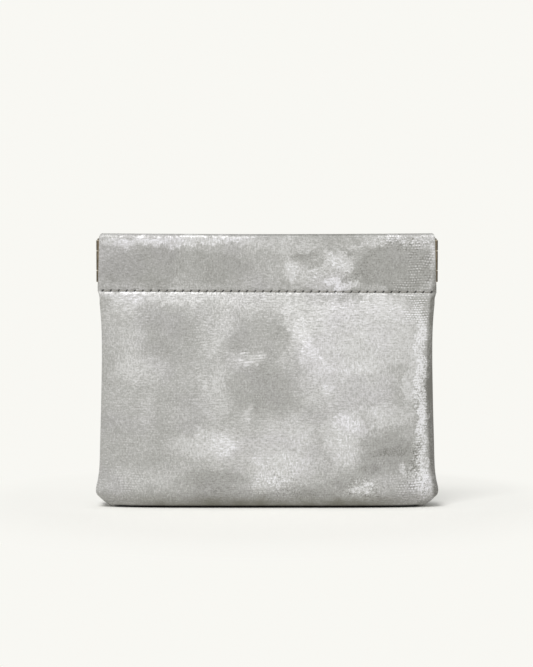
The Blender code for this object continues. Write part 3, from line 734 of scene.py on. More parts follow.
def buildThread():
    material, tree, shader = newMaterial("twistedThread")
    look = threadLook
    place = attributeOf(tree, "threadPlace")
    axes = axesOf(place)
    turns = doMath("DIVIDE", axes["X"], look["twist"])
    ply = times(plus(turns, axes["Y"]), look["plies"])
    hollow = doMath("ABSOLUTE", minus(doMath("FRACT", ply), 0.5))
    ridge = remap(hollow, 0.5, 0.1)
    fuzz = cloud(place, look["fuzzSize"], 3.0)
    # lighter on each ply and darker in the grooves between them: painted shade
    light = timesPlus(fuzz, look["fuzzTone"], times(ridge, look["ridgeTone"]))
    dress(shader, {"Base Color": mixColors(light, linearColor(*look["shade"]), linearColor(*look["color"])),
                   "Roughness": timesPlus(fuzz, *look["roughness"])})
    addBump(shader, timesPlus(fuzz, look["fuzzHeight"], ridge), look["bump"])
    return material


twistedThread = buildThread()
print("finishes ready")

gridPlan = {"rollSteps": 6, "edgeSteps": 5, "perStitch": 4, "baseRows": 6, "turnRows": 10,
            "bellyRows": 27, "casingRows": 8, "foldRows": 14, "facingRows": 7,
            # rows close to the line of stitches, from it, on the wall and on the facing inside
            "nearStitch": [-0.0018, -0.0013, -0.00095, -0.00065, -0.0004, -0.0002, 0.0, 0.0002, 0.0004,
                           0.00065, 0.00095, 0.0013, 0.0018, 0.0024, 0.0031],
            "facingTop": [0.00012, 0.0011, 0.0033],      # below the fold
            "facingStitch": [0.0016, 0.0008, 0.0003, 0.0, -0.0003, -0.0008, -0.0016]}

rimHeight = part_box("front_panel_centre")[0].z
stripLow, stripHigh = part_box("front_spring_centre")
foldRadius = (pouch["casingHalf"] - pouch["facingGap"]) / 2
foldHeight = pouch["crest"] - foldRadius
rollStart = math.radians(pouch["rollStart"])
rollSteps = np.arange(gridPlan["rollSteps"] + 1)
pinched = rollSteps * pouch["leather"] / 8      # steps in from the side, where it isn't rolled


def readCurve(table, place):
    # value on a smooth curve through the table's (place, value) pairs
    last = len(table) - 1
    if place <= table[0][0]:
        return table[0][1]
    if place >= table[last][0]:
        return table[last][1]
    index = max(i for i in range(last) if table[i][0] <= place)
    left, right = table[index], table[index + 1]
    before, after = table[max(index - 1, 0)], table[min(index + 2, last)]
    span = right[0] - left[0]
    way = (place - left[0]) / span
    leftSlope = (right[1] - before[1]) / (right[0] - before[0]) * span
    rightSlope = (after[1] - left[1]) / (after[0] - left[0]) * span
    return ((2 * way**3 - 3 * way**2 + 1) * left[1] + (way**3 - 2 * way**2 + way) * leftSlope
            + (3 * way**2 - 2 * way**3) * right[1] + (way**3 - way**2) * rightSlope)


def ease(way):
    way = np.clip(way, 0.0, 1.0)
    return way * way * (3 - 2 * way)


def bell(distance, reach):
    return math.exp(-((distance / reach) ** 2))


def halfWidth(height):
    return pouch["pinReach"] * readCurve(pouch["outline"], height / pouch["crest"])


def halfDepth(height):
    # outer face in the middle of a panel, from the plane between the panels
    if height >= pouch["stitchLine"]:
        return readCurve(pouch["casing"], height - pouch["stitchLine"])
    if height >= pouch["bellyRise"]:
        way = (height - pouch["bellyRise"]) / (pouch["stitchLine"] - pouch["bellyRise"])
        swell = pouch["bellyHalf"] - pouch["pinchHalf"]
        return pouch["pinchHalf"] + swell * readCurve(pouch["belly"], way)
    turn = math.acos(1 - height / pouch["bellyRise"])
    return pouch["flatHalf"] + (pouch["bellyHalf"] - pouch["flatHalf"]) * math.sin(turn)


def sideOpen(height):
    # 0 where the side seam is closed, 1 in the casing, whose ends are open
    return float(ease((height - pouch["seamTop"]) / (pouch["stitchLine"] - pouch["seamTop"])))


def stitchShift(along, height):
    # the row of stitches is a little out of level, and the leather round it goes with it
    nearby = bell(height - pouch["stitchLine"], pouch["slopeReach"])
    return -pouch["stitchSlope"] * along / stitching["lastHole"] * nearby


def crestSag(share, height):
    # the top hangs a little between the ends of the frame, at a share of the way out to them
    return pouch["crestSag"] * (1 - share**2) * ease((height - pouch["stripFoot"]) / pouch["sagSpan"])


def columnShares():
    # places across a row between its two rolled sides, with a column at each stitch hole
    outer = stitching["lastHole"] / (halfWidth(pouch["stitchLine"]) - pinched[-1])
    steps = stitching["count"] * gridPlan["perStitch"]
    middle = np.linspace(-outer, outer, steps + 1)
    edges = 1 - (np.arange(1, gridPlan["edgeSteps"]) / gridPlan["edgeSteps"]) ** 2 * (1 - outer)
    return np.concatenate([-edges, middle, edges[::-1]])


flatShares = columnShares()
columnCount = len(flatShares) + 2 * (gridPlan["rollSteps"] + 1)
middleColumn = columnCount // 2


def joinSides(sideAlong, sideDeep, innerAlong, innerDeep):
    along = np.concatenate([-sideAlong, innerAlong, sideAlong[::-1]])
    deep = np.concatenate([sideDeep, innerDeep, sideDeep[::-1]])
    return along, deep


# The leather's small relief: puckers at the stitches and slow waves, with the distances that they fade over
relief = {
    "groove": 0.00050, "puffMiddle": 0.0011, "puffReach": 0.0007, "puffLeast": 0.45,
    "fromSide": 0.009, "fromFoot": 0.007, "fromStitch": 0.004, "calm": 0.85,
    "acrossWaves": 62.0, "upWaves": 58.0, "sheetsApart": 5.0,
    "slowWave": 0.00019, "quickWave": 0.00008, "quicker": 2.3, "quickStart": (9, 4, 2),
}


def leatherDetail(along, height, face):
    # outward distances of the relief along one row
    drop = height - pouch["stitchLine"]
    near = np.abs(along) < stitching["lastHole"] + holePitch / 2
    toHole = (along + stitching["lastHole"]) / holePitch
    toHole = (toHole - np.round(toHole)) * holePitch
    holes = np.exp(-(toHole**2 + drop**2) / stitching["holeRadius"] ** 2)
    between = 0.5 - 0.5 * np.cos(2 * math.pi * (along + stitching["lastHole"]) / holePitch)
    puff = bell(abs(drop) - relief["puffMiddle"], relief["puffReach"]) * stitching["puff"]
    moved = near * (-holes * stitching["holeDepth"] - bell(drop, relief["groove"]) * stitching["groove"]
                    + puff * (relief["puffLeast"] + (1 - relief["puffLeast"]) * between))
    level = float(ease(height / relief["fromFoot"])) * (1 - relief["calm"] * bell(drop, relief["fromStitch"]))
    share = level * ease((halfWidth(height) - np.abs(along)) / relief["fromSide"])
    for index, place in enumerate(along):
        spot = Vector((place * relief["acrossWaves"], height * relief["upWaves"],
                       face * relief["sheetsApart"]))
        slow = noise.noise(spot) * relief["slowWave"]
        quick = noise.noise(spot * relief["quicker"] + Vector(relief["quickStart"])) * relief["quickWave"]
        moved[index] += (slow + quick) * share[index]
    return moved


def wallHeights():
    # heights of the rows from the middle of the base up to where the fold over the frame begins
    plan = gridPlan
    rimTurn = math.acos(1 - rimHeight / pouch["bellyRise"])
    turns = [rimTurn * i / plan["baseRows"] for i in range(plan["baseRows"])]
    turns += [rimTurn + (math.pi / 2 - rimTurn) * i / plan["turnRows"] for i in range(plan["turnRows"])]
    heights = [pouch["bellyRise"] * (1 - math.cos(turn)) for turn in turns]
    stitch, near = pouch["stitchLine"], plan["nearStitch"]
    heights += list(np.linspace(pouch["bellyRise"], stitch + near[0], plan["bellyRows"])[:-1])
    heights += [stitch + shift for shift in near]
    return heights + list(np.linspace(pouch["stripFoot"], foldHeight, plan["casingRows"] + 1)[1:])


def wallRow(height, face):
    # one row of the outer face, whose sides are rolled in to the seam or, in the casing, open
    width, depth, opened = halfWidth(height), halfDepth(height), sideOpen(height)
    seamReach = min(pouch["pinReach"], width - pouch["seamInset"])
    radius = (width - seamReach) / (1 - math.sin(rollStart))
    heading = rollStart + (math.pi / 2 - rollStart) * rollSteps / gridPlan["rollSteps"]
    along = seamReach + radius * (np.sin(heading) - math.sin(rollStart))
    deep = pouch["seamGap"] + radius * (math.cos(rollStart) - np.cos(heading))
    deep = np.minimum(deep, depth - pouch["leather"] / 4)
    along += (width - pinched - along) * opened
    deep += (depth - deep) * opened
    inner = flatShares * along[-1]
    curve = np.sqrt(1 - np.clip(np.abs(inner) / width, 0, 1) ** pouch["sideCurve"])
    curve += (1 - curve) * opened
    x, deepRow = joinSides(along, deep, inner, deep[-1] + (depth - deep[-1]) * curve)
    deepRow = deepRow + leatherDetail(x, height, face)
    return x, deepRow, height + stitchShift(x, height) - crestSag(x / width, height)


def straightRow(reach):
    return joinSides(reach - pinched, 0 * pinched, flatShares * (reach - pinched[-1]), 0 * flatShares)


def foldRow(turn):
    # one row of the fold over the frame, which draws in towards the facing
    rise = math.sin(turn)
    height = foldHeight + foldRadius * rise
    if turn <= math.pi / 2:
        reach = halfWidth(height) - pouch["cornerRound"] * (1 - math.sqrt(max(1 - rise**2, 0)))
    else:
        crestReach = halfWidth(pouch["crest"]) - pouch["cornerRound"]
        reach = crestReach + (pouch["foldEndReach"] - crestReach) * (2 * turn / math.pi - 1)
    x, deep = straightRow(reach)
    deep = deep + pouch["facingGap"] + foldRadius * (1 + math.cos(turn))
    return x, deep, height - pouch["crestSag"] * (1 - (x / reach) ** 2)


def facingRow(height, reach):
    x, deep = straightRow(reach)
    deep = deep + pouch["facingGap"]
    deep = deep + pouch["facingDent"] * bell(height - pouch["stitchLine"], pouch["facingDentReach"])
    return x, deep, height + stitchShift(x, height) - crestSag(x / reach, height)


def facingHeights():
    top, plan = gridPlan["facingTop"], gridPlan["facingStitch"]
    heights = [foldHeight - drop for drop in top[:2]]
    lowest = pouch["stitchLine"] + plan[0]
    heights += list(np.linspace(foldHeight - top[2], lowest, gridPlan["facingRows"]))
    return heights + [pouch["stitchLine"] + shift for shift in plan[1:]] + [pouch["facingFoot"]]


def skivedThickness(shape, heights):
    # the leather is thinned at the closed side seams, and towards the edge of the facing
    thickness = np.full(shape, pouch["leather"])
    lipShare = pouch["seamLip"] / pouch["leather"]
    closed = np.array([1 - sideOpen(height) for height in heights])
    for step in range(gridPlan["rollSteps"]):
        share = lipShare + (1 - lipShare) * step / gridPlan["rollSteps"]
        for column in (step, columnCount - 1 - step):
            thickness[:len(heights), column] *= 1 - (1 - share) * closed
    for row, share in pouch["facingSkive"]:
        thickness[row] *= share
    return thickness


def buildSheet(face):
    # One panel with its casing: outer points from the middle of the base up, over the fold and down inside
    heights = wallHeights()
    rows = [wallRow(height, face) for height in heights]
    foldRows = gridPlan["foldRows"]
    rows += [foldRow(math.pi * step / foldRows) for step in range(1, foldRows + 1)]
    for index, height in enumerate(facingHeights()):
        rows.append(facingRow(height, pouch["facingReach"] + (pouch["facingFlare"] if index == 0 else 0.0)))
    points = np.array([np.stack([x, face * deep, z], axis=1) for x, deep, z in rows])
    normals = np.cross(np.gradient(points, axis=1), np.gradient(points, axis=0)) * -face
    upPlace = np.concatenate([[0], np.cumsum(distances(points[:, middleColumn], 0))])
    acrossPlace = np.cumsum(distances(points, 1), axis=1)
    acrossPlace = np.concatenate([np.zeros((len(points), 1)), acrossPlace], axis=1)
    acrossPlace -= acrossPlace[:, [middleColumn]]
    place = np.stack([acrossPlace, np.repeat(upPlace[:, None], columnCount, axis=1),
                      np.full(acrossPlace.shape, face * pouch["placeApart"])], axis=2)
    return {"points": points, "normals": unit(normals), "place": place, "face": face,
            "thickness": skivedThickness(points.shape[:2], heights),
            "rimRow": gridPlan["baseRows"], "stitchRow": heights.index(pouch["stitchLine"])}


def distances(points, axis):
    return np.linalg.norm(np.diff(points, axis=axis), axis=-1)


def unit(vectors):
    return vectors / np.maximum(np.linalg.norm(vectors, axis=-1, keepdims=True), 1e-12)


def storeAttribute(mesh, name, values, kind="FLOAT_VECTOR", field="vector"):
    mesh.attributes.new(name, kind, "POINT").data.foreach_set(field, np.asarray(values, np.float32).ravel())


def meshPiece(name, points, faces, materials, faceMaterials=None):
    mesh = bpy.data.meshes.new(name)
    mesh.from_pydata([tuple(point) for point in points], [], faces)
    for material in materials:
        mesh.materials.append(material)
    if faceMaterials is not None:
        mesh.polygons.foreach_set("material_index", np.asarray(faceMaterials, np.int32))
    mesh.shade_smooth()
    piece = bpy.data.objects.new(name, mesh)
    bpy.context.scene.collection.objects.link(piece)
    return piece


def gridFaces(rows, columns):
    corner = np.arange(rows * columns).reshape(rows, columns)
    quads = [corner[:-1, :-1], corner[:-1, 1:], corner[1:, 1:], corner[1:, :-1]]
    return np.stack(quads, axis=2).reshape(-1, 4)


def finishPiece(piece, place, shading):
    # places for the finish, and the shading at each face's corners
    mesh = piece.data
    rest = np.zeros(len(mesh.vertices) * 3, np.float32)
    mesh.vertices.foreach_get("co", rest)
    storeAttribute(mesh, "restPlace", rest)
    storeAttribute(mesh, "leatherPlace", place)
    mesh.normals_split_custom_set(shading.reshape(-1, 3).tolist())


def solidLeather(name, sheet, rowSpan, columnSpan, flatColumn, materials):
    # Closed piece of leather: foil face, flesh face and rounded cut edges, with even shading across the cut
    rowCut, columnCut = slice(*rowSpan), slice(*columnSpan)
    points = sheet["points"][rowCut, columnCut]
    normals = sheet["normals"][rowCut, columnCut]
    rows, columns = points.shape[:2]
    inner = points - normals * sheet["thickness"][rowCut, columnCut][..., None]
    count = rows * columns
    index = np.arange(count).reshape(rows, columns)
    ring = np.concatenate([index[0, :-1], index[:-1, -1], index[-1, :0:-1], index[:0:-1, 0]])
    outward = np.zeros((rows, columns, 3))
    outward[0] += unit(points[0] - points[1])
    outward[-1] += unit(points[-1] - points[-2])
    outward[:, 0] += unit(points[:, 0] - points[:, 1])
    outward[:, -1] += unit(points[:, -1] - points[:, -2])
    outward = unit(outward).reshape(-1, 3)[ring]
    flatPoints, flatInner = points.reshape(-1, 3), inner.reshape(-1, 3)
    flatNormals = normals.reshape(-1, 3)
    rimNormals = flatNormals[ring]
    bulge = np.full(len(ring), pouch["edgeBulge"])
    onCut = ring % columns == {"first": 0, "last": columns - 1}.get(flatColumn, -1)
    bulge[onCut] = 0.0
    middles = (flatPoints[ring] + flatInner[ring]) / 2 + outward * bulge[:, None]
    outerFaces = gridFaces(rows, columns)
    innerFaces = outerFaces[:, ::-1] + count
    spot = 2 * count + np.arange(len(ring))
    after = np.roll(np.arange(len(ring)), -1)
    firstRim = np.stack([ring[after], ring, spot, spot[after]], axis=1)
    secondRim = np.stack([spot[after], spot, ring + count, ring[after] + count], axis=1)
    faces = np.concatenate([outerFaces, innerFaces, firstRim, secondRim])
    shading = np.concatenate([
        flatNormals[outerFaces],
        -flatNormals[outerFaces[:, ::-1]],
        np.stack([rimNormals[after], rimNormals, outward, outward[after]], axis=1),
        np.stack([outward[after], outward, -rimNormals, -rimNormals[after]], axis=1)])
    cutFaces = np.flatnonzero(onCut & onCut[after])
    cutDirection = np.array([1.0 if flatColumn == "last" else -1.0, 0.0, 0.0])
    for block in (len(outerFaces) * 2, len(outerFaces) * 2 + len(ring)):
        shading[block + cutFaces] = cutDirection
    if sheet["face"] > 0:
        faces, shading = faces[:, ::-1], shading[:, ::-1]
    kinds = np.repeat([0, 1, 2], [len(outerFaces), len(innerFaces), 2 * len(ring)])
    allPoints = np.concatenate([flatPoints, flatInner, middles])
    piece = meshPiece(name, allPoints, faces.tolist(), materials, kinds)
    place = sheet["place"][rowCut, columnCut].reshape(-1, 3)
    finishPiece(piece, np.concatenate([place, place, place[ring]]), shading)
    return piece


def bendAtCrease(piece):
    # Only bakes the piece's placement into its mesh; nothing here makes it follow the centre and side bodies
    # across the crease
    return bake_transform(piece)


sheets = {"front": buildSheet(-1), "back": buildSheet(1)}
foils = {"front": frontFoil, "back": backFoil}
for faceName, sheet in sheets.items():
    lastRow = len(sheet["points"])
    for sideName, span, flatColumn in (("left", (0, middleColumn + 1), "last"),
                                       ("right", (middleColumn, columnCount), "first")):
        piece = solidLeather(f"{faceName}Leather{sideName.title()}", sheet, (sheet["rimRow"], lastRow), span,
                             flatColumn, [foils[faceName], suedeInside, cutEdge])
        bendAtCrease(piece)
        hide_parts(f"{faceName}_panel_{sideName}", f"{faceName}_panel_centre")


# The fold of leather that the pouch stands on.
baseShape = {"keep": 0.10, "butt": 0.00002, "thinned": 0.9}


def buildBase():
    # the rows of both sheets below the rim, as one loop closed by a flat strip along the middle
    front, back = sheets["front"], sheets["back"]
    count = front["rimRow"] + 1
    points, normals, place = [np.concatenate([front[key][:count], back[key][:count, ::-1]], axis=1)
                              for key in ("points", "normals", "place")]
    points[-1, :, 2] -= baseShape["butt"]
    loop = points.shape[1]
    inner = points - normals * pouch["leather"] * baseShape["thinned"]
    total = count * loop
    outerPoints, innerPoints = points.reshape(-1, 3), inner.reshape(-1, 3)
    flatNormals = normals.reshape(-1, 3)
    faces, shading, kinds = [], [], []

    def addFace(corners, normalRows, kind):
        faces.append([int(corner) for corner in corners])
        shading.extend([tuple(normal) for normal in normalRows])
        kinds.append(kind)

    index = np.arange(total).reshape(count, loop)
    for row in range(count - 1):
        for column in range(loop):
            after = (column + 1) % loop
            quad = [index[row, column], index[row, after], index[row + 1, after], index[row + 1, column]]
            addFace(quad, [flatNormals[corner] for corner in quad], 0)
            reverse = quad[::-1]
            addFace([corner + total for corner in reverse], [-flatNormals[corner] for corner in reverse], 1)
    half = loop // 2
    down, up = (0.0, 0.0, -1.0), (0.0, 0.0, 1.0)
    for column in range(half - 1):
        other = loop - 1 - column
        quad = [index[0, column], index[0, other], index[0, other - 1], index[0, column + 1]]
        addFace(quad, [down] * 4, 0)
        addFace([corner + total for corner in quad[::-1]], [up] * 4, 1)
    for column in range(loop):
        after = (column + 1) % loop
        quad = [index[-1, column], index[-1, after], index[-1, after] + total, index[-1, column] + total]
        addFace(quad, [up] * 4, 2)
    piece = meshPiece("baseLeather", np.concatenate([outerPoints, innerPoints]), faces,
                      [baseFoil, suedeInside, cutEdge], kinds)
    flatPlace = place.reshape(-1, 3)
    finishPiece(piece, np.concatenate([flatPlace, flatPlace]), np.array(shading))
    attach(piece, "base")
    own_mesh(piece)
    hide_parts("bottom_fold")
    return piece


baseLeather = buildBase()
print("base shaped")


# Stitches: one short length of thread from hole to hole, with its ends sunk in the leather
def tubeAlong(path, outward, radius, sides):
    # ring of points round each point of the path, and how far along and round each lies
    path = np.array(path)
    tangent = unit(np.gradient(path, axis=0))
    across = unit(np.cross(tangent, outward))
    upward = np.cross(across, tangent)
    turn = 2 * math.pi * np.arange(sides) / sides
    rings = (path[:, None] + radius * (np.cos(turn)[None, :, None] * across[:, None]
                                       + np.sin(turn)[None, :, None] * upward[:, None]))
    place = np.zeros((len(path), sides, 3))
    place[..., 0] = np.concatenate([[0], np.cumsum(distances(path, 0))])[:, None]
    place[..., 1] = turn[None, :] / (2 * math.pi)
    return rings.reshape(-1, 3), place.reshape(-1, 3)


def threadPiece(name, stitches, radius):
    # each stitch is its path and the way that it faces
    points, faces, places = [], [], []
    sides = stitching["sides"]
    total = 0
    for number, (path, outward) in enumerate(stitches):
        ringPoints, ringPlace = tubeAlong(path, outward, radius, sides)
        ringPlace[:, 0] += number * stitching["twistStart"]
        points.append(ringPoints)
        places.append(ringPlace)
        for ring in range(len(path) - 1):
            for spoke in range(sides):
                a = total + ring * sides + spoke
                b = total + ring * sides + (spoke + 1) % sides
                faces.append([a, b, b + sides, a + sides])
        faces.append([total + spoke for spoke in range(sides)][::-1])
        faces.append([total + (len(path) - 1) * sides + spoke for spoke in range(sides)])
        total += len(path) * sides
    piece = meshPiece(name, np.concatenate(points), faces, [twistedThread])
    storeAttribute(piece.data, "threadPlace", np.concatenate(places))
    return piece


def stitchPath(first, second, outward, slant, sunk, rise):
    # path of one stitch from hole to hole, leaning a little across the row
    first, second, slant = np.array(first), np.array(second), np.array(slant)
    profile = [(way, rise * share) for way, share in stitching["profile"]]
    enter, leave = stitching["enter"], 1 - stitching["enter"]
    return [first + (second - first) * way + outward * lift + slant * (way - 0.5) * 2
            for way, lift in [(enter, -sunk)] + profile + [(leave, -sunk)]]


def casingStitches(sheet, holes):
    # one stitch outside and one inside on the facing, from each hole to the next
    rest = sheet["points"][sheet["stitchRow"]]
    outside = (pouch["pinchHalf"] - stitching["groove"] * stitching["seated"], 1,
               stitching["sunk"], stitching["rise"])
    inside = (pouch["facingGap"] + stitching["innerGap"], -1, stitching["innerSunk"], stitching["innerRise"])
    stitches = []
    for pair in zip(holes, holes[1:]):
        for level, way, sunk, rise in (outside, inside):
            out = np.array([0.0, sheet["face"] * way, 0.0])
            ends = [(rest[column, 0], sheet["face"] * level, rest[column, 2]) for column in pair]
            stitches.append((stitchPath(*ends, out, (0, 0, stitching["slant"]), sunk, rise), out))
    return stitches


firstHole = gridPlan["rollSteps"] + gridPlan["edgeSteps"]
holeColumns = [firstHole + i * gridPlan["perStitch"] for i in range(stitching["count"] + 1)]
middleHole = (stitching["count"] + 1) // 2
holeRuns = {"left": holeColumns[:middleHole + 1], "right": holeColumns[middleHole:]}
for faceName, sheet in sheets.items():
    for sideName, holes in holeRuns.items():
        piece = threadPiece(f"{faceName}Stitches{sideName.title()}", casingStitches(sheet, holes),
                            stitching["threadRadius"])
        bendAtCrease(piece)
        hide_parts(f"{faceName}_casing_thread_{sideName}", f"{faceName}_casing_thread_centre")
print("casing stitched")

# Side seams: the turned-in allowances and the line of stitches through them
seam = {"foot": 0.0062, "top": 0.0678, "inset": 0.0008, "width": 0.0045, "gap": 0.00015,
        "shift": -0.00040,          # both flaps lie a little forward, behind the slit of the open seam
        "shiftTop": -0.00015,       # and less so where the panels meet above them
        "shiftRise": 0.0140,
        "wave": 0.00018, "waveSize": 260.0, "wavesApart": (3.1, 2.7),
        "narrowEnd": 0.0012, "endShare": 1 / 12,      # the flaps narrow over this share at each end
        "rows": 34, "columns": 5, "placeApart": 0.8,
        "threadInset": 0.0018, "threadFoot": 0.0045, "threadTop": 0.0026, "pitch": 0.0026,
        "threadRadius": 0.00019, "slant": 0.00010, "sunk": 0.00026, "rise": 0.00012}


def seamLine(height):
    return min(pouch["pinReach"], halfWidth(height) - pouch["leather"]) - seam["inset"]


def seamShift(height):
    upper = float(ease(1 - (seam["top"] - height) / seam["shiftRise"]))
    return seam["shift"] + (seam["shiftTop"] - seam["shift"]) * upper


def allowanceSheet(side, flap):
    # foil sides of the two flaps face each other, so the outward side is towards the middle plane
    grid = np.zeros((seam["rows"], seam["columns"], 3))
    for row in range(seam["rows"]):
        way = row / (seam["rows"] - 1)
        height = seam["foot"] + (seam["top"] - seam["foot"]) * way
        outer = seamLine(height)
        spot = Vector((height * seam["waveSize"], side * seam["wavesApart"][0], flap * seam["wavesApart"][1]))
        ends = ease(1 - way / seam["endShare"]) + ease(1 - (1 - way) / seam["endShare"])
        inner = outer - seam["width"] + noise.noise(spot) * seam["wave"] + seam["narrowEnd"] * float(ends)
        for column in range(seam["columns"]):
            x = outer + (inner - outer) * column / (seam["columns"] - 1)
            grid[row, column] = (side * x, flap * seam["gap"] + seamShift(height), height)
    normals = np.zeros(grid.shape)
    normals[..., 1] = -flap
    apart = np.full(grid.shape[:2], flap * seam["placeApart"])
    return {"points": grid, "normals": normals, "thickness": np.full(grid.shape[:2], pouch["leather"]),
            "place": np.stack([grid[..., 0], grid[..., 2], apart], axis=2), "face": side * flap}


def seamStitches(side):
    start = seam["foot"] + seam["threadFoot"]
    stop = seam["top"] - seam["threadTop"]
    count = int((stop - start) / seam["pitch"])
    stitches = []
    for flap in (-1, 1):
        out = np.array([0.0, flap, 0.0])
        ends = []
        for step in range(count + 1):
            height = start + (stop - start) * step / count
            level = flap * (seam["gap"] + pouch["leather"]) + seamShift(height)
            ends.append((side * (seamLine(height) - seam["threadInset"]), level, height))
        for pair in zip(ends, ends[1:]):
            stitches.append((stitchPath(*pair, out, (seam["slant"], 0, 0), seam["sunk"], seam["rise"]), out))
    return stitches


for sideName, side in (("left", -1), ("right", 1)):
    for flapName, flap in (("front", -1), ("back", 1)):
        piece = solidLeather(f"{sideName}SeamAllowance{flapName.title()}", allowanceSheet(side, flap),
                             (0, seam["rows"]), (0, seam["columns"]), None, [backFoil, suedeInside, cutEdge])
        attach(piece, f"back_{sideName}")
        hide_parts(f"{sideName}_seam_allowance_{flapName}")
    piece = threadPiece(f"{sideName}SeamStitches", seamStitches(side), seam["threadRadius"])
    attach(piece, f"back_{sideName}")
    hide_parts(f"{sideName}_seam_thread")
print("side seams sewn")

# Spring strips, whose ends are rolled into hinge knuckles round the pins
spring = {"innerFace": 0.00125, "thickness": 0.00035, "splits": (0.277, 0.745), "knuckleGap": 0.00012,
          "notch": 0.0008, "wornEnd": 0.02, "columns": 26, "curlStart": -90.0, "curl": 295.0,
          "curlSteps": 30, "edgeBand": 0.00028, "bevel": 0.00009, "bevelAngle": 50.0}
barrelRadius = spring["innerFace"] + spring["thickness"]


def springLevels(face):
    # heights across the strip, each with whether a knuckle is rolled above it and whether it is an edge.
    # The front has the outer knuckles and the back the middle one, and each is cut back by half the gap.
    tall = stripHigh.z - stripLow.z
    cut = -face * spring["knuckleGap"] / 2
    splits = [stripLow.z + tall * share for share in spring["splits"]]
    corners = [stripLow.z, splits[0] - cut, splits[1] + cut, stripHigh.z]
    edge = spring["edgeBand"]
    levels = []
    for band, (low, high) in enumerate(zip(corners, corners[1:])):
        isRolled = (band == 1) == (face > 0)
        for height in (low, low + edge, (low + high) / 2, high - edge):
            levels.append((height, isRolled, height == low))
    levels.append((stripHigh.z, False, True))
    return levels


def springGrid(side, face):
    # rows of points along the strip and round its curl, and how each point is worn
    notchReach = pouch["pinReach"] - barrelRadius - spring["notch"]
    stripPlaces = list(np.linspace(0, notchReach - spring["edgeBand"], spring["columns"])) + [notchReach]
    curled = [math.radians(spring["curl"] * step / spring["curlSteps"] + spring["curlStart"])
              for step in range(spring["curlSteps"] + 1)]
    points, worn = [], []
    for height, isRolled, isEdge in springLevels(face):
        for along in stripPlaces:
            points.append((side * along, face * barrelRadius, height))
            edge = 1.0 if isEdge and along > notchReach - spring["wornEnd"] else 0.0
            worn.append(((along, height, 0.0), edge, 0.0))
        for turn in curled:
            points.append((side * (pouch["pinReach"] + barrelRadius * math.cos(turn)),
                           -face * barrelRadius * math.sin(turn), height))
            # the outer share marks the outer side of the knuckle, for its painted shade
            place = (notchReach + barrelRadius * (turn + math.pi / 2), height, 0.0)
            worn.append((place, 1.0 if isEdge else 0.0, max(0.0, math.cos(turn))))
    return points, worn, len(stripPlaces), len(stripPlaces) + len(curled)


def buildSpring(faceName, face, sideName, side):
    points, worn, stripColumns, columns = springGrid(side, face)
    faces = []
    for row, level in enumerate(springLevels(face)[:-1]):
        isRolled = level[1]
        for column in range((columns if isRolled else stripColumns) - 1):
            a = row * columns + column
            quad = [a, a + 1, a + 1 + columns, a + columns]
            faces.append(quad[::-1] if side * face > 0 else quad)
    used = sorted({corner for quad in faces for corner in quad})
    renumber = {old: new for new, old in enumerate(used)}
    faces = [[renumber[corner] for corner in quad] for quad in faces]
    piece = meshPiece(f"{faceName}Spring{sideName.title()}", [points[i] for i in used], faces, [agedSpring])
    places, edges, outers = zip(*[worn[i] for i in used])
    storeAttribute(piece.data, "stripPlace", places)
    storeAttribute(piece.data, "edgeShare", edges, "FLOAT", "value")
    storeAttribute(piece.data, "outerShare", outers, "FLOAT", "value")
    wall = piece.modifiers.new("Thickness", "SOLIDIFY")
    wall.thickness = spring["thickness"]
    wall.offset = -1.0
    wall.use_even_offset = True
    rounded = piece.modifiers.new("Edges", "BEVEL")
    rounded.width = spring["bevel"]
    rounded.segments = 2
    rounded.limit_method = "ANGLE"
    rounded.angle_limit = math.radians(spring["bevelAngle"])
    rounded.harden_normals = True
    bendAtCrease(piece)
    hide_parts(f"{faceName}_spring_{sideName}", f"{faceName}_spring_centre")


for faceName, face in (("front", -1), ("back", 1)):
    for sideName, side in (("left", -1), ("right", 1)):
        buildSpring(faceName, face, sideName, side)
for sideName in ("left", "right"):
    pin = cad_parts[f"{sideName}_hinge_pin"]
    for materialSlot in pin.material_slots:
        materialSlot.material = agedPin
    pin.data.shade_smooth()
print("springs rolled")

# Studio: a pale floor that fades into the backdrop, one soft light and the camera
studio = {
    "backdrop": (248.5, 247.8, 243.0),
    "floorColor": (0.928, 0.921, 0.881),
    "floorHalf": 6.0,
    "floorDrop": 0.00002,
    "roomLight": 0.40,
    # How much of the floor's look is lit, rather than plain backdrop: at the base, then in front and behind
    "litNear": (0.0015, 0.012),
    "litFront": (-0.025, -0.004, 0.95, 0.60),
    "litBack": (0.002, 0.070, 0.90, 0.30),
    "litRadius": (0.055, 0.120),
    "distance": 0.90,
    "elevation": 4.0,
    "aim": (-0.0002, 0.0, 0.0583),
    "frameHeight": 0.2244,      # height of the view at the aim
    "sensor": 36.0,
    "clip": (0.01, 50.0),
    "lampPlace": (-0.78, -1.90, 2.85),
    "lampSize": 1.50,
    "lampPower": 86.0,
}


def seenStraight(tree):
    # 1 for the camera and for a reflection or a view through glass, 0 for the light that it gives
    path = tree.nodes.new("ShaderNodeLightPath").outputs
    return doMath("MAXIMUM", path["Is Camera Ray"],
                  doMath("MAXIMUM", path["Is Glossy Ray"], path["Is Transmission Ray"]))


def lightRoom():
    world = bpy.data.worlds.new("studioRoom")
    bpy.context.scene.world = world
    world.use_nodes = True
    background = world.node_tree.nodes["Background"]
    room = (*[studio["roomLight"]] * 3, 1.0)
    color = mixColors(seenStraight(world.node_tree), room, linearColor(*studio["backdrop"]))
    plug(background.inputs["Color"], color)
    background.inputs["Strength"].default_value = 1.0


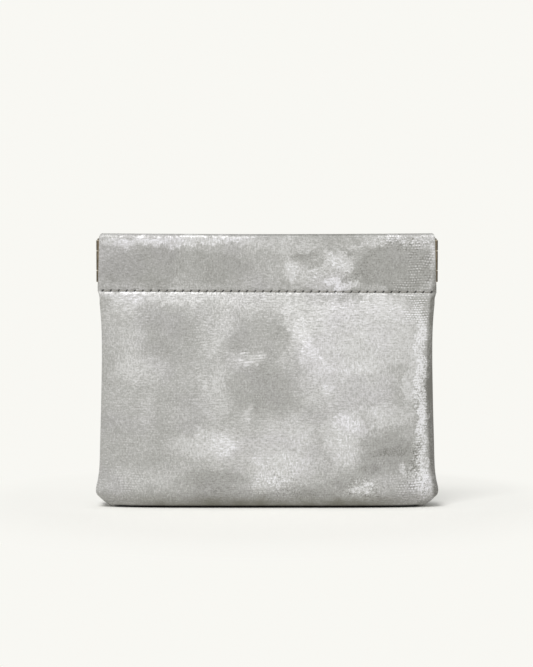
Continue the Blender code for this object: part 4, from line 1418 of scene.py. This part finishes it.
def plainShare(tree):
    # share of plain backdrop in the floor's look: all of it far out, and less by the pouch and its shadow
    position = tree.nodes.new("ShaderNodeNewGeometry").outputs["Position"]
    away = remap(doVector("LENGTH", position), *studio["litRadius"])
    footprint = doVector("SUBTRACT", doVector("ABSOLUTE", position), (halfWidth(0), pouch["flatHalf"], 0.0))
    outside = doVector("LENGTH", doVector("MAXIMUM", footprint, (0.0, 0.0, 0.0)))
    depth = axesOf(position)["Y"]
    lit = times(remap(depth, *studio["litFront"]), remap(depth, *studio["litBack"]))
    beside = times(remap(outside, *studio["litNear"]), minus(1.0, lit))
    return doMath("MAXIMUM", away, beside)


def layFloor():
    material = bpy.data.materials.new("paleFloor")
    material.use_nodes = True
    tree = material.node_tree
    tree.nodes.clear()
    output = tree.nodes.new("ShaderNodeOutputMaterial")
    matt = tree.nodes.new("ShaderNodeBsdfDiffuse")
    matt.inputs["Color"].default_value = (*studio["floorColor"], 1.0)
    plain = tree.nodes.new("ShaderNodeEmission")
    plain.inputs["Color"].default_value = linearColor(*studio["backdrop"])
    share = times(seenStraight(tree), plainShare(tree))
    mix = addNode("MixShader", {0: share, 1: matt.outputs[0], 2: plain.outputs[0]})
    plug(output.inputs[0], mix.outputs[0])
    size = studio["floorHalf"]
    corners = [(-size, -size, 0), (size, -size, 0), (size, size, 0), (-size, size, 0)]
    floor = meshPiece("studioFloor", corners, [(0, 1, 2, 3)], [material])
    floor.location.z = -studio["floorDrop"]


def aimFrom(name, data, place):
    # lamp or camera at the place, turned to the aim
    holder = bpy.data.objects.new(name, data)
    holder.location = place
    holder.rotation_mode = "QUATERNION"
    holder.rotation_quaternion = (Vector(studio["aim"]) - Vector(place)).to_track_quat("-Z", "Y")
    bpy.context.scene.collection.objects.link(holder)
    return holder


def buildStudio():
    lightRoom()
    layFloor()
    lamp = bpy.data.lights.new("keyLamp", "AREA")
    lamp.shape = "RECTANGLE"
    lamp.size = lamp.size_y = studio["lampSize"]
    lamp.energy = studio["lampPower"]
    aimFrom("keyLamp", lamp, studio["lampPlace"])
    lens = bpy.data.cameras.new("studioCamera")
    lens.sensor_width = studio["sensor"]
    lens.lens = studio["sensor"] * studio["distance"] / studio["frameHeight"]
    lens.clip_start, lens.clip_end = studio["clip"]
    tilt = math.radians(studio["elevation"])
    back = Vector((0, -math.cos(tilt), math.sin(tilt))) * studio["distance"]
    bpy.context.scene.camera = aimFrom("studioCamera", lens, Vector(studio["aim"]) + back)
    bpy.context.scene.view_settings.view_transform = "Standard"


buildStudio()
print("studio lit")
